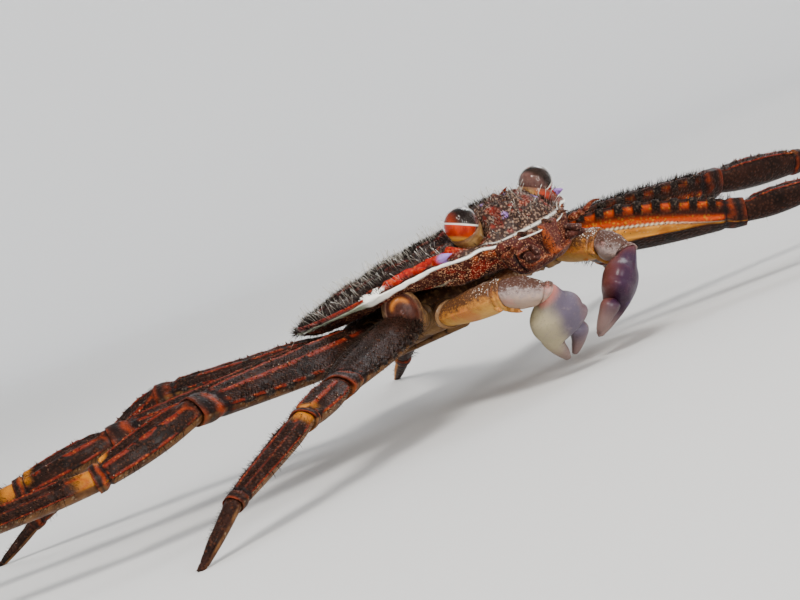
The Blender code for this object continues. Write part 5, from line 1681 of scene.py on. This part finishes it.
def coatTree():
    tree = bpy.data.node_groups.new("growCoat", "GeometryNodeTree")
    for label, (kind, value) in coatInputs.items():
        socket = tree.interface.new_socket(name=label, in_out="INPUT", socket_type="NodeSocket" + kind)
        if value is not None:
            socket.default_value = value
    tree.interface.new_socket(name="Coat", in_out="OUTPUT", socket_type="NodeSocketGeometry")
    start, end = addNode(tree, "NodeGroupInput").outputs, addNode(tree, "NodeGroupOutput").inputs

    def named(label, kind):
        node = addNode(tree, "GeometryNodeInputNamedAttribute", {"Name": label}, data_type=kind)
        return socketNamed(node.outputs, "Attribute")

    def randomValue(kind, low, high, offset):
        inputs = {"Min": low, "Max": high, "Seed": number(tree, "ADD", start["Seed"], offset)}
        return socketNamed(addNode(tree, "FunctionNodeRandomValue", inputs, data_type=kind).outputs, "Value")

    def store(geometry, name, value, kind, domain):
        inputs = {"Geometry": geometry, "Name": name, "Value": value}
        node = addNode(tree, "GeometryNodeStoreNamedAttribute", inputs, data_type=kind, domain=domain)
        return node.outputs["Geometry"]

    density = number(tree, "MULTIPLY", start["Density"], named(start["ShareField"], "FLOAT"))
    inputs = {"Mesh": start["Skin"], "Density": density, "Seed": start["Seed"]}
    scatter = addNode(tree, "GeometryNodeDistributePointsOnFaces", inputs, distribute_method="RANDOM").outputs
    tinted = store(scatter["Points"], "tint", randomValue("FLOAT", 0.0, 1.0, 11), "FLOAT", "POINT")
    # each sprout leans from the skin's normal by its lie and a random spread
    anyWay = randomValue("FLOAT_VECTOR", (-1, -1, -1), (1, 1, 1), 23)
    wander = vectorMath(tree, "SCALE", anyWay, scale=start["Spread"])[0]
    lying = vectorMath(tree, "SCALE", named("lie", "FLOAT_VECTOR"), scale=start["LieAmount"])[0]
    pointing = vectorMath(tree, "ADD", scatter["Normal"], vectorMath(tree, "ADD", lying, wander)[0])[0]
    inputs = {"Axis": (0, 0, 1), "Angle": randomValue("FLOAT", 0.0, 6.283, 37)}
    spin = addNode(tree, "FunctionNodeAxisAngleToRotation", inputs)
    inputs = {"Rotation": spin.outputs[0], "Vector": pointing}
    turn = addNode(tree, "FunctionNodeAlignRotationToVector", inputs, axis="Z")
    length = number(tree, "MULTIPLY", named(start["LengthField"], "FLOAT"),
                    randomValue("FLOAT", start["LengthLow"], start["LengthHigh"], 41))
    shape = addNode(tree, "GeometryNodeObjectInfo", {"Object": start["Bristle"]}, transform_space="ORIGINAL")
    plant = addNode(tree, "GeometryNodeInstanceOnPoints", {
        "Points": tinted, "Instance": shape.outputs["Geometry"], "Rotation": turn.outputs[0],
        "Scale": number(tree, "MULTIPLY", length, mm)})
    real = addNode(tree, "GeometryNodeRealizeInstances", {"Geometry": plant.outputs["Instances"]})
    # every tuft has its own small patch of the coat's picture, round the place of its root
    middle = vectorMath(tree, "SUBTRACT", named("tuftPlace", "FLOAT_VECTOR"), (0.5, 0.5, 0.0))[0]
    patch = vectorMath(tree, "SCALE", middle, scale=start["TuftWidth"])[0]
    unwrapped = vectorMath(tree, "ADD", named("rootPlace", "FLOAT_VECTOR"), patch)[0]
    baked = store(real.outputs["Geometry"], "OFBake", unwrapped, "FLOAT2", "CORNER")
    dressed = addNode(tree, "GeometryNodeSetMaterial", {"Geometry": baked, "Material": start["Material"]})
    feed(tree, end["Coat"], dressed.outputs["Geometry"])
    return tree


def sproutSkin(name, rootColour, bodyColour, tipColour, paleFrom):
    paint = skinPaint(name, 0.7, specular=0.04)
    tuft = addNode(paint.tree, "ShaderNodeSeparateXYZ", {"Vector": paint.read("tuftPlace", "Vector")})
    level = tuft.outputs["Y"]
    paint.colour = paint.mix(paint.stretch(level, 0.0, 0.5), rootColour, bodyColour)
    tip = paint.times(paint.stretch(level, 0.45, 1.0), paint.stretch("tint", paleFrom, 0.95))
    paint.cover(tip, tipColour)
    return paint.finish()


def grow(name, kind, skins, densityTimes=1.0, seedShift=0):
    # joins copies of the skins, grows on them, and keeps only what has grown
    joined = bmesh.new()
    for skin in skins:
        joined.from_mesh(skin.data)
    mesh = bpy.data.meshes.new(name)
    joined.to_mesh(mesh)
    joined.free()
    settings = dict(zip(coatKeys, coats[kind]), Bristle=shapes[kind], Material=sproutSkins[kind],
                    TuftWidth=tuftWidth)
    settings["Density"] *= densityTimes
    settings["Seed"] += seedShift
    grower = addObject(name + "Grower", mesh)
    modifier = grower.modifiers.new("grow", "NODES")
    modifier.node_group = growCoat
    for item in growCoat.interface.items_tree:
        if item.in_out == "INPUT" and item.name in settings:
            modifier[item.identifier] = settings[item.name]
    bpy.context.view_layer.update()
    grown = bpy.data.meshes.new_from_object(grower.evaluated_get(bpy.context.evaluated_depsgraph_get()))
    grower.modifiers.clear()
    bpy.data.objects.remove(grower)
    grown.name = name
    return addObject(name, grown)


growCoat = coatTree()
shapes = {kind: sproutShape(*sprout) for kind, sprout in sprouts.items()}
sproutSkins = {kind: sproutSkin(*colours) for kind, colours in sproutColours.items()}
coatPieces = [grow("shield" + kind.capitalize(), kind, [shieldShell]) for kind in ("pile", "hairs", "thorns")]
for k, legName in enumerate(walkingLegs):
    skins = [legPieces[legName + "_" + kind] for kind in limbNames]
    coatPieces.append(grow(legName + "Bristles", "legBristles", skins, 1.0, 3 * k))
    coatPieces.append(grow(legName + "Thorns", "thorns", skins, legThornTimes, 3 * k))
for shape in shapes.values():
    bpy.data.objects.remove(shape)
print("coats:", {piece.name: len(piece.data.polygons) for piece in coatPieces})


# Riding on the frame, and the end

place(shieldShell, "carapace", "carapace")
place(breastShell, "thorax", "thorax")
place(flapShell, "abdomen", "abdomen")
place(spineShell, "carapace")
for node, piece in legPieces.items():
    place(piece, node.split("_")[-1], node)
for piece, slotName, node in eyePieces + pincerPieces + facePieces:
    place(piece, slotName, *([node] if node else []))
for piece in coatPieces:
    place(piece, "carapace" if piece.name.startswith("shield") else "merus")
